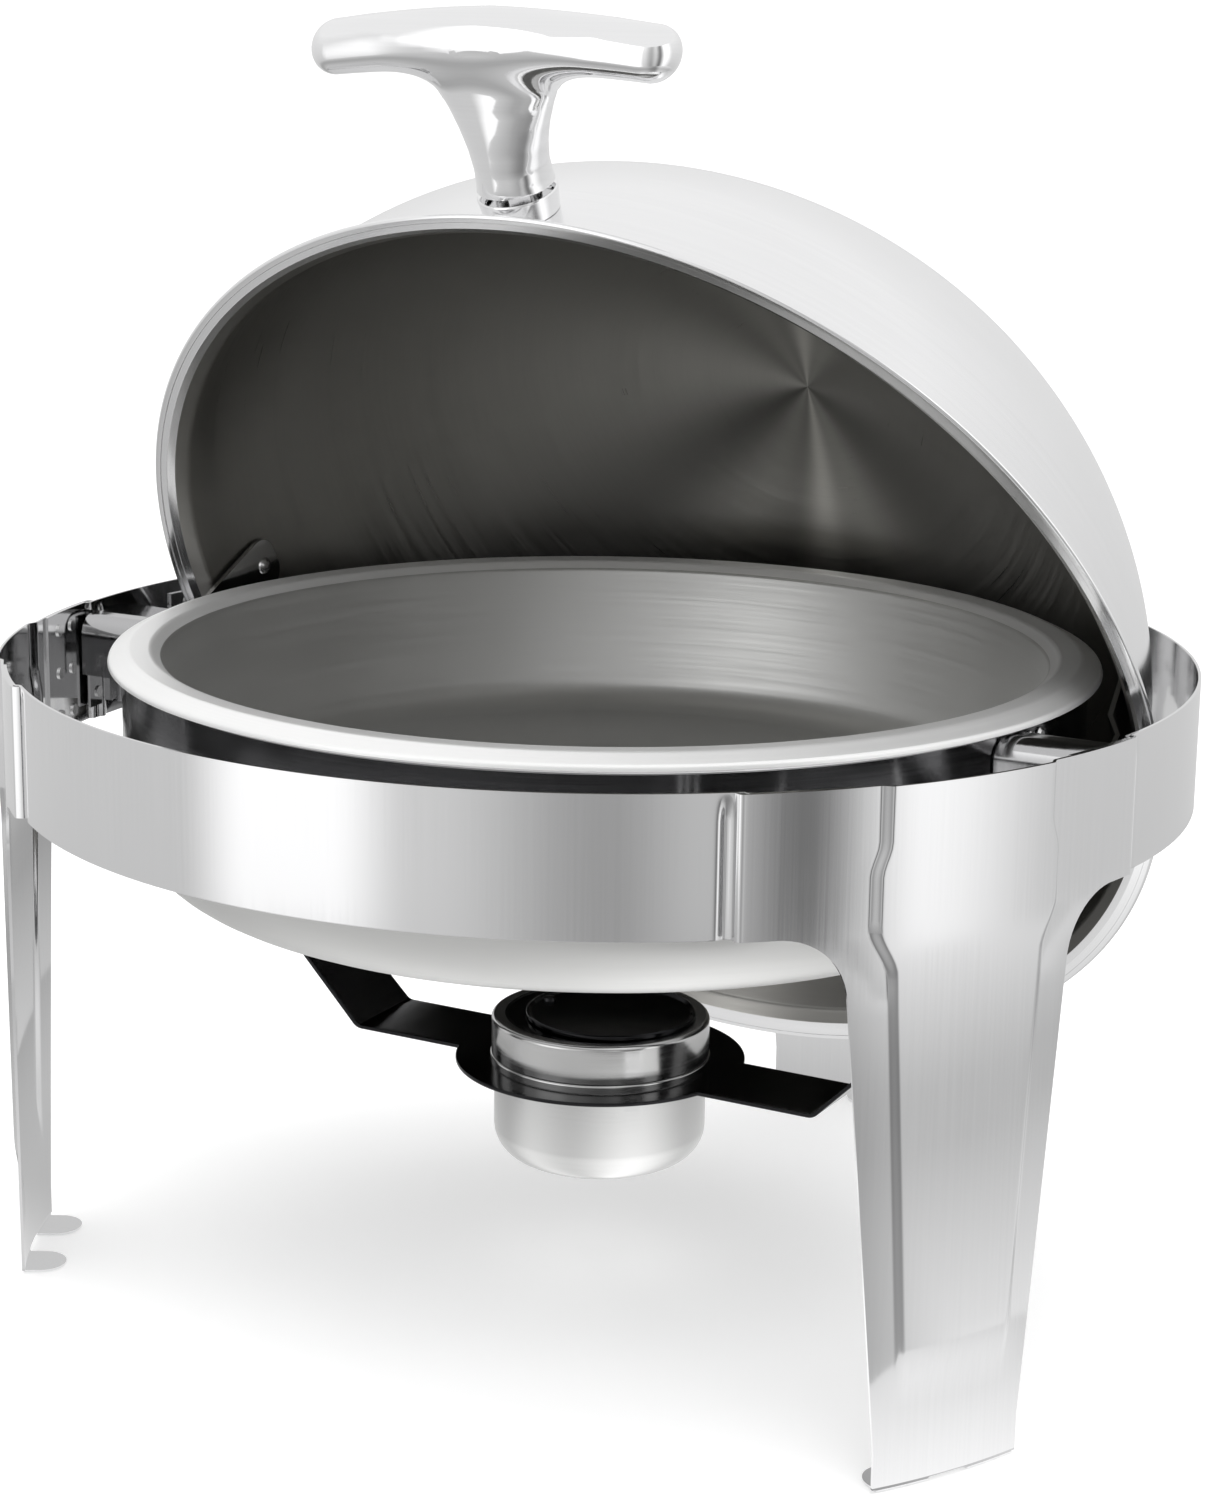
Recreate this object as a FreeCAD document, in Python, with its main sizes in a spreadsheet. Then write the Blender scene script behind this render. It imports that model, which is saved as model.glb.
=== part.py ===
"""Round roll top chafer: a parametric document of separate pieces, in millimetres.

The origin is on the table under the centre of the ring, +Z is up and -Y is the front.
The lid turns about the X direction, on a bolt at each side of the ring, inside the band.
"""
import FreeCAD, Part
import math
import os
import Sketcher
from FreeCAD import Placement, Rotation, Vector

doc = FreeCAD.newDocument("roll_top_chafer")
sheet = doc.addObject("Spreadsheet::Sheet", "sizes")

SIZES = [
    # ring band and its laps behind the legs
    ("ring_top", 270.0), ("band_height", 53.0), ("band_radius", 245.0), ("steel", 1.2),
    ("lap_step", 2.0), ("lap_angle", 9.4), ("seam_angle", 0.8), ("fold_angle", 0.35),
    # legs
    ("leg_angle", 61.0), ("leg_half_angle", 21.4), ("leg_shoulder", 52.0), ("shoulder_round", 26.0),
    ("leg_foot_half", 32.0), ("tab_reach", 6.0), ("tab_radius", 10.5),
    ("foot_gap_half", 9.0), ("foot_gap_height", 2.2), ("foot_gap_round", 1.5), ("rib_proud", 2.4),
    ("rib_top_half", 37.0), ("rib_waist_height", 212.0), ("rib_foot_half", 20.0),
    ("rib_foot_height", 40.0), ("weld_radius", 2.6), ("weld_proud", 0.7),
    ("weld_outer_angle", 17.0), ("weld_inner_angle", 14.0), ("weld_first_drop", 8.0),
    ("weld_pitch", 19.0),
    # hinge
    ("pivot_height", 241.0), ("lid_open", 58.0), ("bolt_radius", 4.0), ("pin_fit", 0.06), ("fit", 0.02),
    ("washer_radius", 9.0), ("washer_thick", 1.0), ("hinge_gap", 0.3), ("bolt_head", 3.6),
    ("housing_face", 226.0), ("housing_half", 24.0), ("housing_rise", 18.0),
    ("housing_round", 10.0), ("wing_angle", 9.7), ("wing_rise", 5.0), ("wing_weld_angle", 8.0),
    ("head_radius", 7.2), ("shank_past", 10.0), ("nut_radius", 7.5), ("nut_thick", 5.2),
    ("nut_collar", 5.8), ("nut_tall", 6.8), ("lug_width", 26.0), ("lug_steel", 2.0),
    ("lug_top", 73.7), ("lug_top_face", 212.6), ("lug_bend_face", 218.2),
    ("lug_rivet_low", 14.0), ("lug_rivet_high", 36.0),
    ("shelf_front", 49.0), ("shelf_back", 25.5), ("shelf_drop", 26.0),
    ("shelf_round", 9.0),
    # lid
    ("rim_above_pivot", 28.7), ("dome_radius", 220.0), ("dome_rise", 196.0),
    ("lid_steel", 0.9), ("rim_radius", 232.4), ("rim_thick", 2.4),
    # handle, along its own axis
    ("handle_rise", 24.5), ("handle_tilt", 8.0), ("grip_reach", 68.8), ("grip_half", 79.0),
    ("grip_droop", 4.2), ("bar_tall", 12.2), ("bar_end_tall", 10.2), ("bar_deep", 12.3),
    ("bar_round", 10.5), ("neck_lean", 4.5), ("collar_foot", 15.0), ("collar_radius", 16.0),
    ("collar_height", 9.0), ("screw_spread", 8.0), ("screw_radius", 2.5),
    ("screw_washer", 6.0), 
    # pans
    ("pan_steel", 0.9), ("water_radius", 200.0), ("water_floor", 173.0),
    ("water_corner", 40.0), ("water_rim_top", 269.2), ("water_bead", 3.0),
    ("food_rim_radius", 205.7), ("food_rim_top", 273.6), ("food_well_radius", 184.0),
    ("food_floor_radius", 163.0), ("food_floor", 207.0), ("food_corner", 18.0),
    ("stud_radius", 3.0), ("stud_proud", 1.6),
    # fuel holder
    ("strap_height", 88.0), ("strap_width", 43.0), ("strap_steel", 1.6), ("strap_flat", 112.0),
    ("strap_tab_half", 16.0), ("strap_tab", 20.0),
    ("disc_radius", 62.3), ("disc_hole", 46.3), ("cup_radius", 45.6), ("cup_floor", 47.0),
    ("cup_steel", 0.8), ("cup_corner", 14.0), ("cup_mouth", 104.0), ("bead_radius", 47.4),
    ("bead_height", 3.4), ("cap_radius", 46.9), ("cap_top", 110.0), ("cap_opening", 21.0),
    ("cap_round", 3.0), ("damper_radius", 36.5), ("damper_shift", 5.0), ("damper_lift", 1.6),
    ("damper_pin_reach", 25.5), ("damper_pin_radius", 2.0),
]


class Term:
    """A number together with the spreadsheet expression that gives it."""

    def __init__(self, value, text):
        self.value = value
        self.text = text

    def combine(self, other, sign, result):
        return Term(result, f"({self.text} {sign} {as_term(other).text})")

    def __add__(self, other):
        return self.combine(other, "+", self.value + number(other))

    def __sub__(self, other):
        return self.combine(other, "-", self.value - number(other))

    def __mul__(self, other):
        return self.combine(other, "*", self.value * number(other))

    def __truediv__(self, other):
        return self.combine(other, "/", self.value / number(other))

    def __radd__(self, other):
        return as_term(other) + self

    def __rsub__(self, other):
        return as_term(other) - self

    def __rmul__(self, other):
        return as_term(other) * self

    def __neg__(self):
        return Term(-self.value, f"(0 - {self.text})")


def number(item):
    return item.value if isinstance(item, Term) else float(item)


def as_term(item):
    return item if isinstance(item, Term) else Term(float(item), f"{float(item):.4f}")


class Sheet:
    """Gives each spreadsheet size as a Term, by its alias."""

    def __init__(self, rows):
        for row, (alias, value) in enumerate(rows, start=1):
            sheet.set(f"A{row}", alias)
            sheet.set(f"B{row}", str(value))
            sheet.setAlias(f"B{row}", alias)
            setattr(self, alias, Term(value, f"sizes.{alias}"))


S = Sheet(SIZES)
doc.recompute()
PIECES = []


# ---------------------------------------------------------------- document helpers
def bind(obj, **terms):
    """Bind properties of an object to spreadsheet expressions."""
    for name, term in terms.items():
        obj.setExpression(name, as_term(term).text)
    return obj


def place(obj, x=0, y=0, z=0, turn=0, pitch=0, roll=0):
    """Bind an object's Placement: roll about X, pitch about Y, turn about Z, then a shift."""
    spot = "; ".join(as_term(item).text for item in (x, y, z))
    angles = "; ".join(as_term(item).text for item in (turn, pitch, roll))
    obj.setExpression("Placement", f"create(<<placement>>; create(<<vector>>; {spot}); "
                      f"create(<<rotation>>; {angles}))")
    return obj


def cylinder(radius, height, angle=360, **where):
    solid = bind(doc.addObject("Part::Cylinder", "cylinder"), Radius=radius, Height=height)
    bind(solid, Angle=angle)
    return place(solid, **where)


def box(x0, x1, y0, y1, z0, z1):
    solid = doc.addObject("Part::Box", "box")
    bind(solid, Length=as_term(x1) - x0, Width=as_term(y1) - y0, Height=as_term(z1) - z0)
    return place(solid, x0, y0, z0)


def join(kind, *solids):
    """Part boolean of two or more objects: kind is Cut, MultiFuse or MultiCommon."""
    result = doc.addObject("Part::" + kind, kind.lower())
    if kind == "Cut":
        result.Base, result.Tool = solids
    else:
        result.Shapes = list(solids)
    return result


def sector(r_in, r_out, start, end, low, high):
    """Part of a ring between two angles, in degrees from +X."""
    sweep = as_term(end) - start
    tall = as_term(high) - low
    outer = cylinder(r_out, tall, sweep, z=low, turn=start)
    inner = cylinder(r_in, tall, 360, z=low)
    return join("Cut", outer, inner)


def piece(obj, name):
    """Name a finished sub-part; its label is its node and file name."""
    obj.Label = name
    PIECES.append(obj)
    return obj


def new_body(name):
    return doc.addObject("PartDesign::Body", name)


def new_sketch(body, role):
    """Sketch on one of the body's own origin planes."""
    sketch = body.newObject("Sketcher::SketchObject", "outline")
    plane = next(item for item in body.Origin.OriginFeatures if item.Role == role)
    sketch.AttachmentSupport = [(plane, "")]
    sketch.MapMode = "FlatFace"
    return sketch


def outline(sketch, corners):
    """Closed outline of straight lines, each corner bound to its two sizes."""
    spots = [Vector(number(x), number(y), 0) for x, y in corners]
    first = sketch.GeometryCount
    count = len(corners)
    for index, spot in enumerate(spots):
        sketch.addGeometry(Part.LineSegment(spot, spots[(index + 1) % count]), False)
    for index in range(count):
        following = first + (index + 1) % count
        sketch.addConstraint(Sketcher.Constraint("Coincident", first + index, 2, following, 1))
    for index, (x, y) in enumerate(corners):
        for kind, size in (("DistanceX", x), ("DistanceY", y)):
            rule = Sketcher.Constraint(kind, -1, 1, first + index, 1, number(size))
            row = sketch.addConstraint(rule)
            if isinstance(size, Term):
                sketch.setExpression(f"Constraints[{row}]", size.text)


def revolve(name, corners):
    """Body turned about its own Z axis from an outline of (radius, height) corners."""
    body = new_body(name)
    sketch = new_sketch(body, "XZ_Plane")
    outline(sketch, corners)
    turned = body.newObject("PartDesign::Revolution", "turned")
    turned.Profile = sketch
    turned.ReferenceAxis = (sketch, ["V_Axis"])
    turned.Angle = 360
    body.Tip = turned
    doc.recompute()
    return body


def pad(body, sketch, length, both_ways=False):
    """Pad a sketch of the body."""
    solid = body.newObject("PartDesign::Pad", "pad")
    solid.Profile = sketch
    bind(solid, Length=length)
    if both_ways:
        solid.SideType = "Symmetric"
    body.Tip = solid
    doc.recompute()
    return solid


def near(one, two, reach=0.02):
    return abs(number(one) - number(two)) < reach


def edges_where(body, test):
    """Names of the edges of the body's latest feature that pass a test."""
    return [f"Edge{index}" for index, edge in enumerate(body.Tip.Shape.Edges, start=1) if test(edge)]


def ring_edges(body, spots):
    """Names of the body's circular edges that pass through given (radius, height) spots."""
    def on_spot(edge):
        curve = edge.Curve
        return isinstance(curve, Part.Circle) and any(
            near(curve.Radius, radius) and near(curve.Center.z, height) for radius, height in spots)
    return edges_where(body, on_spot)


def round_edges(body, names, radius):
    """Fillet named edges of the body's latest feature."""
    if not names:
        raise ValueError(f"no edge to round on {body.Label}")
    previous = body.Tip
    rounding = body.newObject("PartDesign::Fillet", "rounding")
    rounding.Base = (previous, names)
    bind(rounding, Radius=radius)
    body.Tip = rounding
    doc.recompute()


def fillet(body, spots, radius):
    """Round the body's circular edges at given (radius, height) spots."""
    round_edges(body, ring_edges(body, spots), radius)


def sine(angle):
    return Term(math.sin(math.radians(number(angle))), f"sin({as_term(angle).text} * 1 deg)")


def cosine(angle):
    return Term(math.cos(math.radians(number(angle))), f"cos({as_term(angle).text} * 1 deg)")


def root(item):
    return Term(math.sqrt(number(item)), f"sqrt({as_term(item).text})")


def group(solids, name=None):
    """Compound of separate solids."""
    result = doc.addObject("Part::Compound", "group")
    result.Links = list(solids)
    return piece(result, name) if name else result


def mirrored(obj, name):
    """The left-hand twin of a right-hand piece."""
    twin = doc.addObject("Part::Mirroring", "twin")
    twin.Source = obj
    twin.Normal = (1, 0, 0)
    return piece(twin, name)


# ---------------------------------------------------------------- ring band and legs
band_low = S.ring_top - S.band_height
band_inner = S.band_radius - S.steel
lap_inner = band_inner + S.lap_step
leg_inner = S.band_radius + S.lap_step
leg_outer = leg_inner + S.steel
RIGHT_LEG = S.leg_angle - 90
LEFT_LEG = 270 - S.leg_angle
REAR_LEG = as_term(90)


def make_band(name, start_leg, end_leg):
    """Band between two legs; each end steps outwards and laps behind its leg."""
    start = start_leg + S.leg_half_angle - S.seam_angle
    end = end_leg - S.leg_half_angle + S.seam_angle
    parts = [sector(band_inner, S.band_radius, start, end, band_low, S.ring_top)]
    for seam, way in ((start, -1), (end, 1)):
        step_end = seam + S.fold_angle * way
        lap_end = seam + S.lap_angle * way
        low, high = (step_end, seam) if way < 0 else (seam, step_end)
        parts.append(sector(band_inner, leg_inner, low, high, band_low, S.ring_top))
        low, high = (lap_end, seam) if way < 0 else (seam, lap_end)
        parts.append(sector(lap_inner, leg_inner, low, high, band_low, S.ring_top))
    return piece(join("MultiFuse", *parts), name)


def radial_prism(corners, rounds=()):
    """Prism along +X with an outline of (sideways, height) corners, some of them rounded."""
    body = new_body("prism")
    sketch = new_sketch(body, "YZ_Plane")
    outline(sketch, corners)
    pad(body, sketch, leg_outer * 1.1)
    for spots, radius in rounds:
        round_edges(body, edges_where(body, lambda edge: any(
            near(edge.CenterOfMass.y, y) and near(edge.CenterOfMass.z, z) for y, z in spots)), radius)
    return body


def both_sides(corners):
    """Outline of the right-hand corners, listed upwards, and their mirror images."""
    return corners + [(-x, y) for x, y in reversed(corners)]


def make_leg(name, turn):
    """Pressed leg: curved panel, raised rib, folded side edges and two inward foot tabs."""
    half = S.leg_half_angle
    wide = leg_outer * sine(half) * 1.1
    panel_outline = both_sides([
        (S.foot_gap_half, S.foot_gap_height), (S.foot_gap_half, 0), (S.leg_foot_half, 0),
        (S.leg_shoulder, band_low), (wide, band_low), (wide, S.ring_top)])
    shoulder = [(S.leg_shoulder, band_low), (-S.leg_shoulder, band_low)]
    foot_gap = [(S.foot_gap_half, S.foot_gap_height), (-S.foot_gap_half, S.foot_gap_height)]
    prism = radial_prism(panel_outline, [(shoulder, S.shoulder_round),
                                         (foot_gap, S.foot_gap_round)])
    panel = join("MultiCommon", sector(leg_inner, leg_outer, -half, half, 0, S.ring_top), prism)
    rib = radial_prism(both_sides([
        (S.rib_foot_half, S.rib_foot_height), (S.rib_top_half, S.rib_waist_height),
        (S.rib_top_half, S.ring_top)]))
    hollow = radial_prism(both_sides([
        (S.rib_foot_half - S.steel, S.rib_foot_height + S.steel),
        (S.rib_top_half - S.steel, S.rib_waist_height), (S.rib_top_half - S.steel, S.ring_top + 1)]))
    raised = join("MultiCommon", sector(leg_inner, leg_outer + S.rib_proud, -half, half, 0, S.ring_top),
                  rib)
    inside = join("MultiCommon", sector(leg_inner - 1, leg_inner + S.rib_proud, -half, half, 0,
                                        S.ring_top + 1), hollow)
    parts = [panel, raised]
    for side in (-1, 1):
        edge, fold = half * side, (half - S.fold_angle) * side
        low, high = (edge, fold) if side < 0 else (fold, edge)
        parts.append(sector(S.band_radius + 0.2, leg_outer, low, high, band_low, S.ring_top))
        middle = (S.leg_foot_half + S.foot_gap_half) / 2 * side
        tab_centre = leg_inner - S.tab_reach - S.steel
        parts.append(cylinder(S.tab_radius, S.steel, x=tab_centre, y=middle))
        parts.append(box(tab_centre, leg_inner - S.steel, middle - S.tab_radius,
                         middle + S.tab_radius, 0, S.steel))
    leg = join("Cut", join("MultiFuse", *parts), inside)
    return piece(place(leg, turn=turn), name)


make_band("front_band", LEFT_LEG - 360, RIGHT_LEG)
make_band("right_rear_band", RIGHT_LEG, REAR_LEG)
make_band("left_rear_band", REAR_LEG, LEFT_LEG)
make_leg("leg_front_right", RIGHT_LEG)
make_leg("leg_rear", REAR_LEG)
make_leg("leg_front_left", LEFT_LEG)


def turned(name_or_none, corners, **where):
    """Revolved body with a placement, named as a piece when it has a name."""
    body = revolve(name_or_none or "turned_part", corners)
    place(body, **where)
    return piece(body, name_or_none) if name_or_none else body


def stub(radius, start, end, **where):
    """Round bar along Z from start to end, then placed."""
    return turned(None, [(0, start), (radius, start), (radius, end), (0, end)], **where)


def make_weld_spots():
    """Weld spots inside each lap: two columns of three near both edges of every leg."""
    spots = []
    reach = lap_inner - S.weld_proud
    for leg in (RIGHT_LEG, REAR_LEG, LEFT_LEG):
        for column in (S.weld_inner_angle, S.weld_outer_angle):
            for side in (-1, 1):
                angle = leg + column * side
                for row in range(3):
                    drop = S.weld_first_drop + S.weld_pitch * row
                    spot = cylinder(S.weld_radius, S.weld_proud - 0.03, x=reach * cosine(angle),
                                    y=reach * sine(angle), z=S.ring_top - drop,
                                    turn=angle, pitch=90)
                    spots.append(spot)
    group(spots, "lap_weld_spots")


make_weld_spots()


# ---------------------------------------------------------------- hinge, fixed side
def pressed_block(face, front, back, low, high, rounding):
    """Block from a face out to the band, with its two upper long edges rounded."""
    body = new_body("pressed_block")
    sketch = new_sketch(body, "YZ_Plane")
    outline(sketch, [(front, low), (back, low), (back, high), (front, high)])
    sketch.setExpression("AttachmentOffset.Base.z", as_term(face).text)
    pad(body, sketch, S.band_radius - face)
    round_edges(body, edges_where(body, lambda edge: near(edge.CenterOfMass.z, high) and (
        near(edge.CenterOfMass.y, front) or near(edge.CenterOfMass.y, back))), rounding)
    return body


def make_housing():
    """Pressed hinge cover: open below and towards the band, with a welded wing each side."""
    half, steel = S.housing_half, S.steel
    wing_low = S.pivot_height - S.housing_rise
    top = S.pivot_height + S.housing_rise
    outer = pressed_block(S.housing_face, -half, half, wing_low, top, S.housing_round)
    inner = pressed_block(S.housing_face + steel, steel - half, half - steel, wing_low - 5, top - steel,
                          S.housing_round - steel)
    wing_high = top + S.wing_rise
    wings = sector(band_inner - steel, band_inner - S.fit, -S.wing_angle, S.wing_angle, wing_low, wing_high)
    middle = box(S.housing_face, S.band_radius, steel - half, half - steel, wing_low - 1, wing_high + 1)
    inside = cylinder(band_inner - S.fit, 100, z=S.pivot_height - 50)
    hole = stub(S.bolt_radius + S.fit, S.housing_face - 5, S.housing_face + 5, z=S.pivot_height, pitch=90)
    cover = join("MultiCommon", join("Cut", outer, inner), inside)
    return join("Cut", join("MultiFuse", cover, join("Cut", wings, middle)), hole)


housing = piece(make_housing(), "hinge_housing_right")
mirrored(housing, "hinge_housing_left")

washer_outer = S.housing_face - S.washer_thick
lug_outer = washer_outer - S.hinge_gap
lug_inner = lug_outer - S.lug_steel
washer_face = lug_inner - S.hinge_gap
head_face = washer_face - S.washer_thick


def make_bolt(name, pitch):
    """Shoulder bolt with a low domed head towards the pan."""
    head, crown, tip = S.head_radius, head_face - S.bolt_head, S.housing_face + S.shank_past
    turned(name, [
        (0, crown), (head * 0.45, crown), (head * 0.83, crown + 1), (head, head_face - 1),
        (head, head_face), (S.bolt_radius, head_face), (S.bolt_radius, tip - 0.6),
        (S.bolt_radius - 0.6, tip), (0, tip)], z=S.pivot_height, pitch=pitch)


def make_washers(name, pitch):
    """Two flat washers, one on each side of the lid lug."""
    rings = []
    for start in (washer_outer, head_face):
        rings.append(turned(None, [
            (S.bolt_radius, start), (S.washer_radius, start),
            (S.washer_radius, start + S.washer_thick), (S.bolt_radius, start + S.washer_thick)],
            z=S.pivot_height, pitch=pitch))
    group(rings, name)


def make_nut(name, pitch):
    """Lock nut inside the hinge cover: a hexagon with a round collar."""
    start = S.housing_face + S.steel
    hexagon = bind(doc.addObject("Part::Prism", "hexagon"), Circumradius=S.nut_radius,
                   Height=S.nut_thick)
    hexagon.Polygon = 6
    collar = cylinder(S.nut_collar, S.nut_tall)
    bore = cylinder(S.bolt_radius, 20, z=-5)
    nut = join("Cut", join("MultiFuse", hexagon, collar), bore)
    flip = 1 if pitch > 0 else -1
    return piece(place(nut, x=start * flip, z=S.pivot_height, pitch=pitch), name)


for side_name, side_pitch in (("right", 90), ("left", -90)):
    make_bolt(f"hinge_bolt_{side_name}", side_pitch)
    make_washers(f"hinge_washers_{side_name}", side_pitch)
    make_nut(f"hinge_nut_{side_name}", side_pitch)


def make_housing_welds():
    """Weld spots on the wings of both hinge covers."""
    spots = []
    reach = band_inner - S.steel - S.weld_proud
    for centre in (0, 180):
        for side in (-1, 1):
            angle = S.wing_weld_angle * side + centre
            for rise in (-12, 18):
                spots.append(cylinder(S.weld_radius, S.weld_proud - 0.03, x=reach * cosine(angle),
                                      y=reach * sine(angle), z=S.pivot_height + rise,
                                      turn=angle, pitch=90))
    group(spots, "hinge_weld_spots")


make_housing_welds()


def make_shelf():
    """Pressed shelf between the band and the water pan, open below, that carries the pan's rim."""
    steel, front, back = S.steel, -S.shelf_front, -S.shelf_back
    top = S.water_rim_top - S.water_bead - 0.3
    low = top - S.shelf_drop
    outer = pressed_block(190, front, back, low, top, S.shelf_round)
    inner = pressed_block(180, front + steel, back - steel, low - 5, top - steel, S.shelf_round - steel)
    trim = sector(S.water_radius + 0.8, band_inner - steel - 0.8, -20, 5, low - 10, top + 10)
    return join("MultiCommon", join("Cut", outer, inner), trim)


shelf = piece(make_shelf(), "pan_shelf_right")
mirrored(shelf, "pan_shelf_left")


# ---------------------------------------------------------------- water pan and food pan
def make_water_pan():
    """Deep water pan with a rolled rim."""
    outer, inner = S.water_radius, S.water_radius - S.pan_steel
    bead_low, bead_out = S.water_rim_top - S.water_bead, S.water_radius + S.water_bead
    floor = S.water_floor
    body = revolve("water_pan", [
        (0, floor), (outer, floor), (outer, bead_low), (bead_out, bead_low),
        (bead_out, S.water_rim_top), (inner, S.water_rim_top), (inner, floor + S.pan_steel),
        (0, floor + S.pan_steel)])
    fillet(body, [(outer, floor)], S.water_corner)
    fillet(body, [(inner, floor + S.pan_steel)], S.water_corner - S.pan_steel)
    fillet(body, [(bead_out, bead_low), (bead_out, S.water_rim_top)], S.water_bead * 0.45)
    return piece(body, "water_pan")


def make_food_pan():
    """Food pan with a crowned flange that hangs over the water pan's rim."""
    top, well, wall = S.food_rim_top, S.food_well_radius, S.pan_steel
    floor, base = S.food_floor, S.food_floor_radius
    body = revolve("food_pan", [
        (0, floor), (base + 1, floor), (well + 0.6, top - 4.6), (well + 4.6, top - 1.5),
        (S.food_rim_radius - 8.7, top - wall), (S.food_rim_radius - 1.5, top - 4.3),
        (S.food_rim_radius - 0.9, top - 5.8), (S.food_rim_radius, top - 5.8),
        (S.food_rim_radius - 0.6, top - 3.6), (S.food_rim_radius - 8.5, top),
        (well + 4.0, top - 0.6), (well - 0.4, top - 4.0), (base, floor + wall), (0, floor + wall)])
    fillet(body, [(base + 1, floor)], S.food_corner + wall)
    fillet(body, [(base, floor + wall)], S.food_corner)
    return piece(body, "food_pan")


def make_studs():
    """Two small domed studs at each side, under the water pan's rim."""
    studs = []
    reach = S.water_radius
    for centre, way in ((0, 1), (180, -1)):
        for turn in (-4.4, -6.7):
            angle = as_term(centre) + turn * way
            studs.append(turned(None, [
                (0, 0.03), (S.stud_radius, 0.35), (S.stud_radius, S.stud_proud * 0.5),
                (S.stud_radius * 0.6, S.stud_proud), (0, S.stud_proud)],
                x=reach * cosine(angle), y=reach * sine(angle), z=S.water_rim_top - 8.0,
                turn=angle, pitch=90))
    group(studs, "water_pan_studs")


make_water_pan()
make_studs()
make_food_pan()


# ---------------------------------------------------------------- fuel holder
def make_fuel_bracket():
    """Strap with a round middle: flat under the pan, then up at 45 degrees to the band."""
    steel, flat, base = S.strap_steel, S.strap_flat, S.strap_height
    tab_face = band_inner - 0.6
    tab_low = base + (tab_face - flat)
    tab_top = tab_low + S.strap_tab
    lean = steel * 0.4142
    side = [
        (flat, base), (tab_face, tab_low), (tab_face, tab_top),
        (tab_face - steel, tab_top), (tab_face - steel, tab_low + lean),
        (flat - lean, base + steel)]
    body = new_body("strap")
    sketch = new_sketch(body, "XZ_Plane")
    outline(sketch, side + [(-x, z) for x, z in reversed(side)])
    pad(body, sketch, S.strap_width, both_ways=True)
    disc = cylinder(S.disc_radius, steel, z=base)
    hole = cylinder(S.disc_hole, 20, z=base - 5)
    inside_band = cylinder(band_inner - 0.05, 400)
    tab_trims = []
    for x0, x1 in ((tab_face - 12, tab_face + 2), (-tab_face - 2, -tab_face + 12)):
        for y0, y1 in ((S.strap_tab_half, S.strap_width), (-S.strap_width, -S.strap_tab_half)):
            tab_trims.append(box(x0, x1, y0, y1, tab_low - 11, tab_top + 2))
    strap = join("Cut", join("MultiFuse", body, disc), group([hole] + tab_trims))
    return piece(join("MultiCommon", strap, inside_band), "fuel_bracket")


def make_fuel_cup():
    """Open cup for a fuel can, hung in the bracket by a rolled bead."""
    outer, inner = S.cup_radius, S.cup_radius - S.cup_steel
    bead_low = S.strap_height + S.strap_steel + 0.3
    bead_top = bead_low + S.bead_height
    body = revolve("fuel_cup", [
        (0, S.cup_floor), (outer, S.cup_floor), (outer, bead_low), (S.bead_radius, bead_low),
        (S.bead_radius, bead_top), (outer, bead_top), (outer, S.cup_mouth), (inner, S.cup_mouth),
        (inner, S.cup_floor + S.cup_steel), (0, S.cup_floor + S.cup_steel)])
    fillet(body, [(outer, S.cup_floor)], S.cup_corner)
    fillet(body, [(inner, S.cup_floor + S.cup_steel)], S.cup_corner - S.cup_steel)
    return piece(body, "fuel_cup")


def make_fuel_cap():
    """Cap over the cup, with a round opening that has a turned-up edge."""
    low = S.strap_height + S.strap_steel + S.bead_height + 0.6
    outer, inner = S.cap_radius, S.cap_radius - S.cup_steel
    top, hole = S.cap_top, S.cap_opening
    body = revolve("cap_shell", [
        (inner, low), (outer, low), (outer, top), (hole, top), (hole, top - S.cup_steel),
        (inner, top - S.cup_steel)])
    fillet(body, [(outer, top)], S.cap_round)
    fillet(body, [(inner, top - S.cup_steel)], S.cap_round - S.cup_steel)
    pin_hole = cylinder(S.damper_pin_radius, 40, x=-S.damper_pin_reach, z=low)
    return piece(join("Cut", body, pin_hole), "fuel_cap")


def make_damper():
    """Round cover that swings over the cap's opening to set the flame, with a finger tab."""
    low = S.cap_top + 0.3
    disc = cylinder(S.damper_radius, S.cup_steel, x=S.damper_shift, z=low)
    bead = turned(None, [
        (S.damper_radius - 2.4, low), (S.damper_radius, low), (S.damper_radius, low + S.damper_lift),
        (S.damper_radius - 1.2, low + S.damper_lift + 0.5), (S.damper_radius - 2.4, low + 0.8)],
        x=S.damper_shift)
    pin_hole = cylinder(S.damper_pin_radius + S.pin_fit, 40, x=-S.damper_pin_reach, z=low - 10)
    return piece(join("Cut", join("MultiFuse", disc, bead), pin_hole), "flame_damper")


def make_damper_pin():
    """Rivet that the damper turns on."""
    radius = S.damper_pin_radius
    low = S.cap_top - S.cup_steel
    disc_top = S.cap_top + 0.3 + S.cup_steel + 0.2
    turned("damper_rivet", [
        (0, low - 1.4), (2.7, low - 1.2), (3.0, low - 0.02), (radius, low - 0.02),
        (radius, disc_top), (3.0, disc_top), (2.6, disc_top + 1.2), (0, disc_top + 1.6)],
        x=-S.damper_pin_reach)


make_fuel_bracket()
make_fuel_cup()
make_fuel_cap()
make_damper()
make_damper_pin()


# ---------------------------------------------------------------- lid, drawn closed
def opened(obj, name):
    """Wrap a piece drawn with the lid closed and the pivot at the origin, and open it."""
    return piece(place(join_one(obj), z=S.pivot_height, roll=-S.lid_open), name)


def join_one(obj):
    holder = doc.addObject("Part::Compound", "opened")
    holder.Links = [obj]
    return holder


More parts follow.
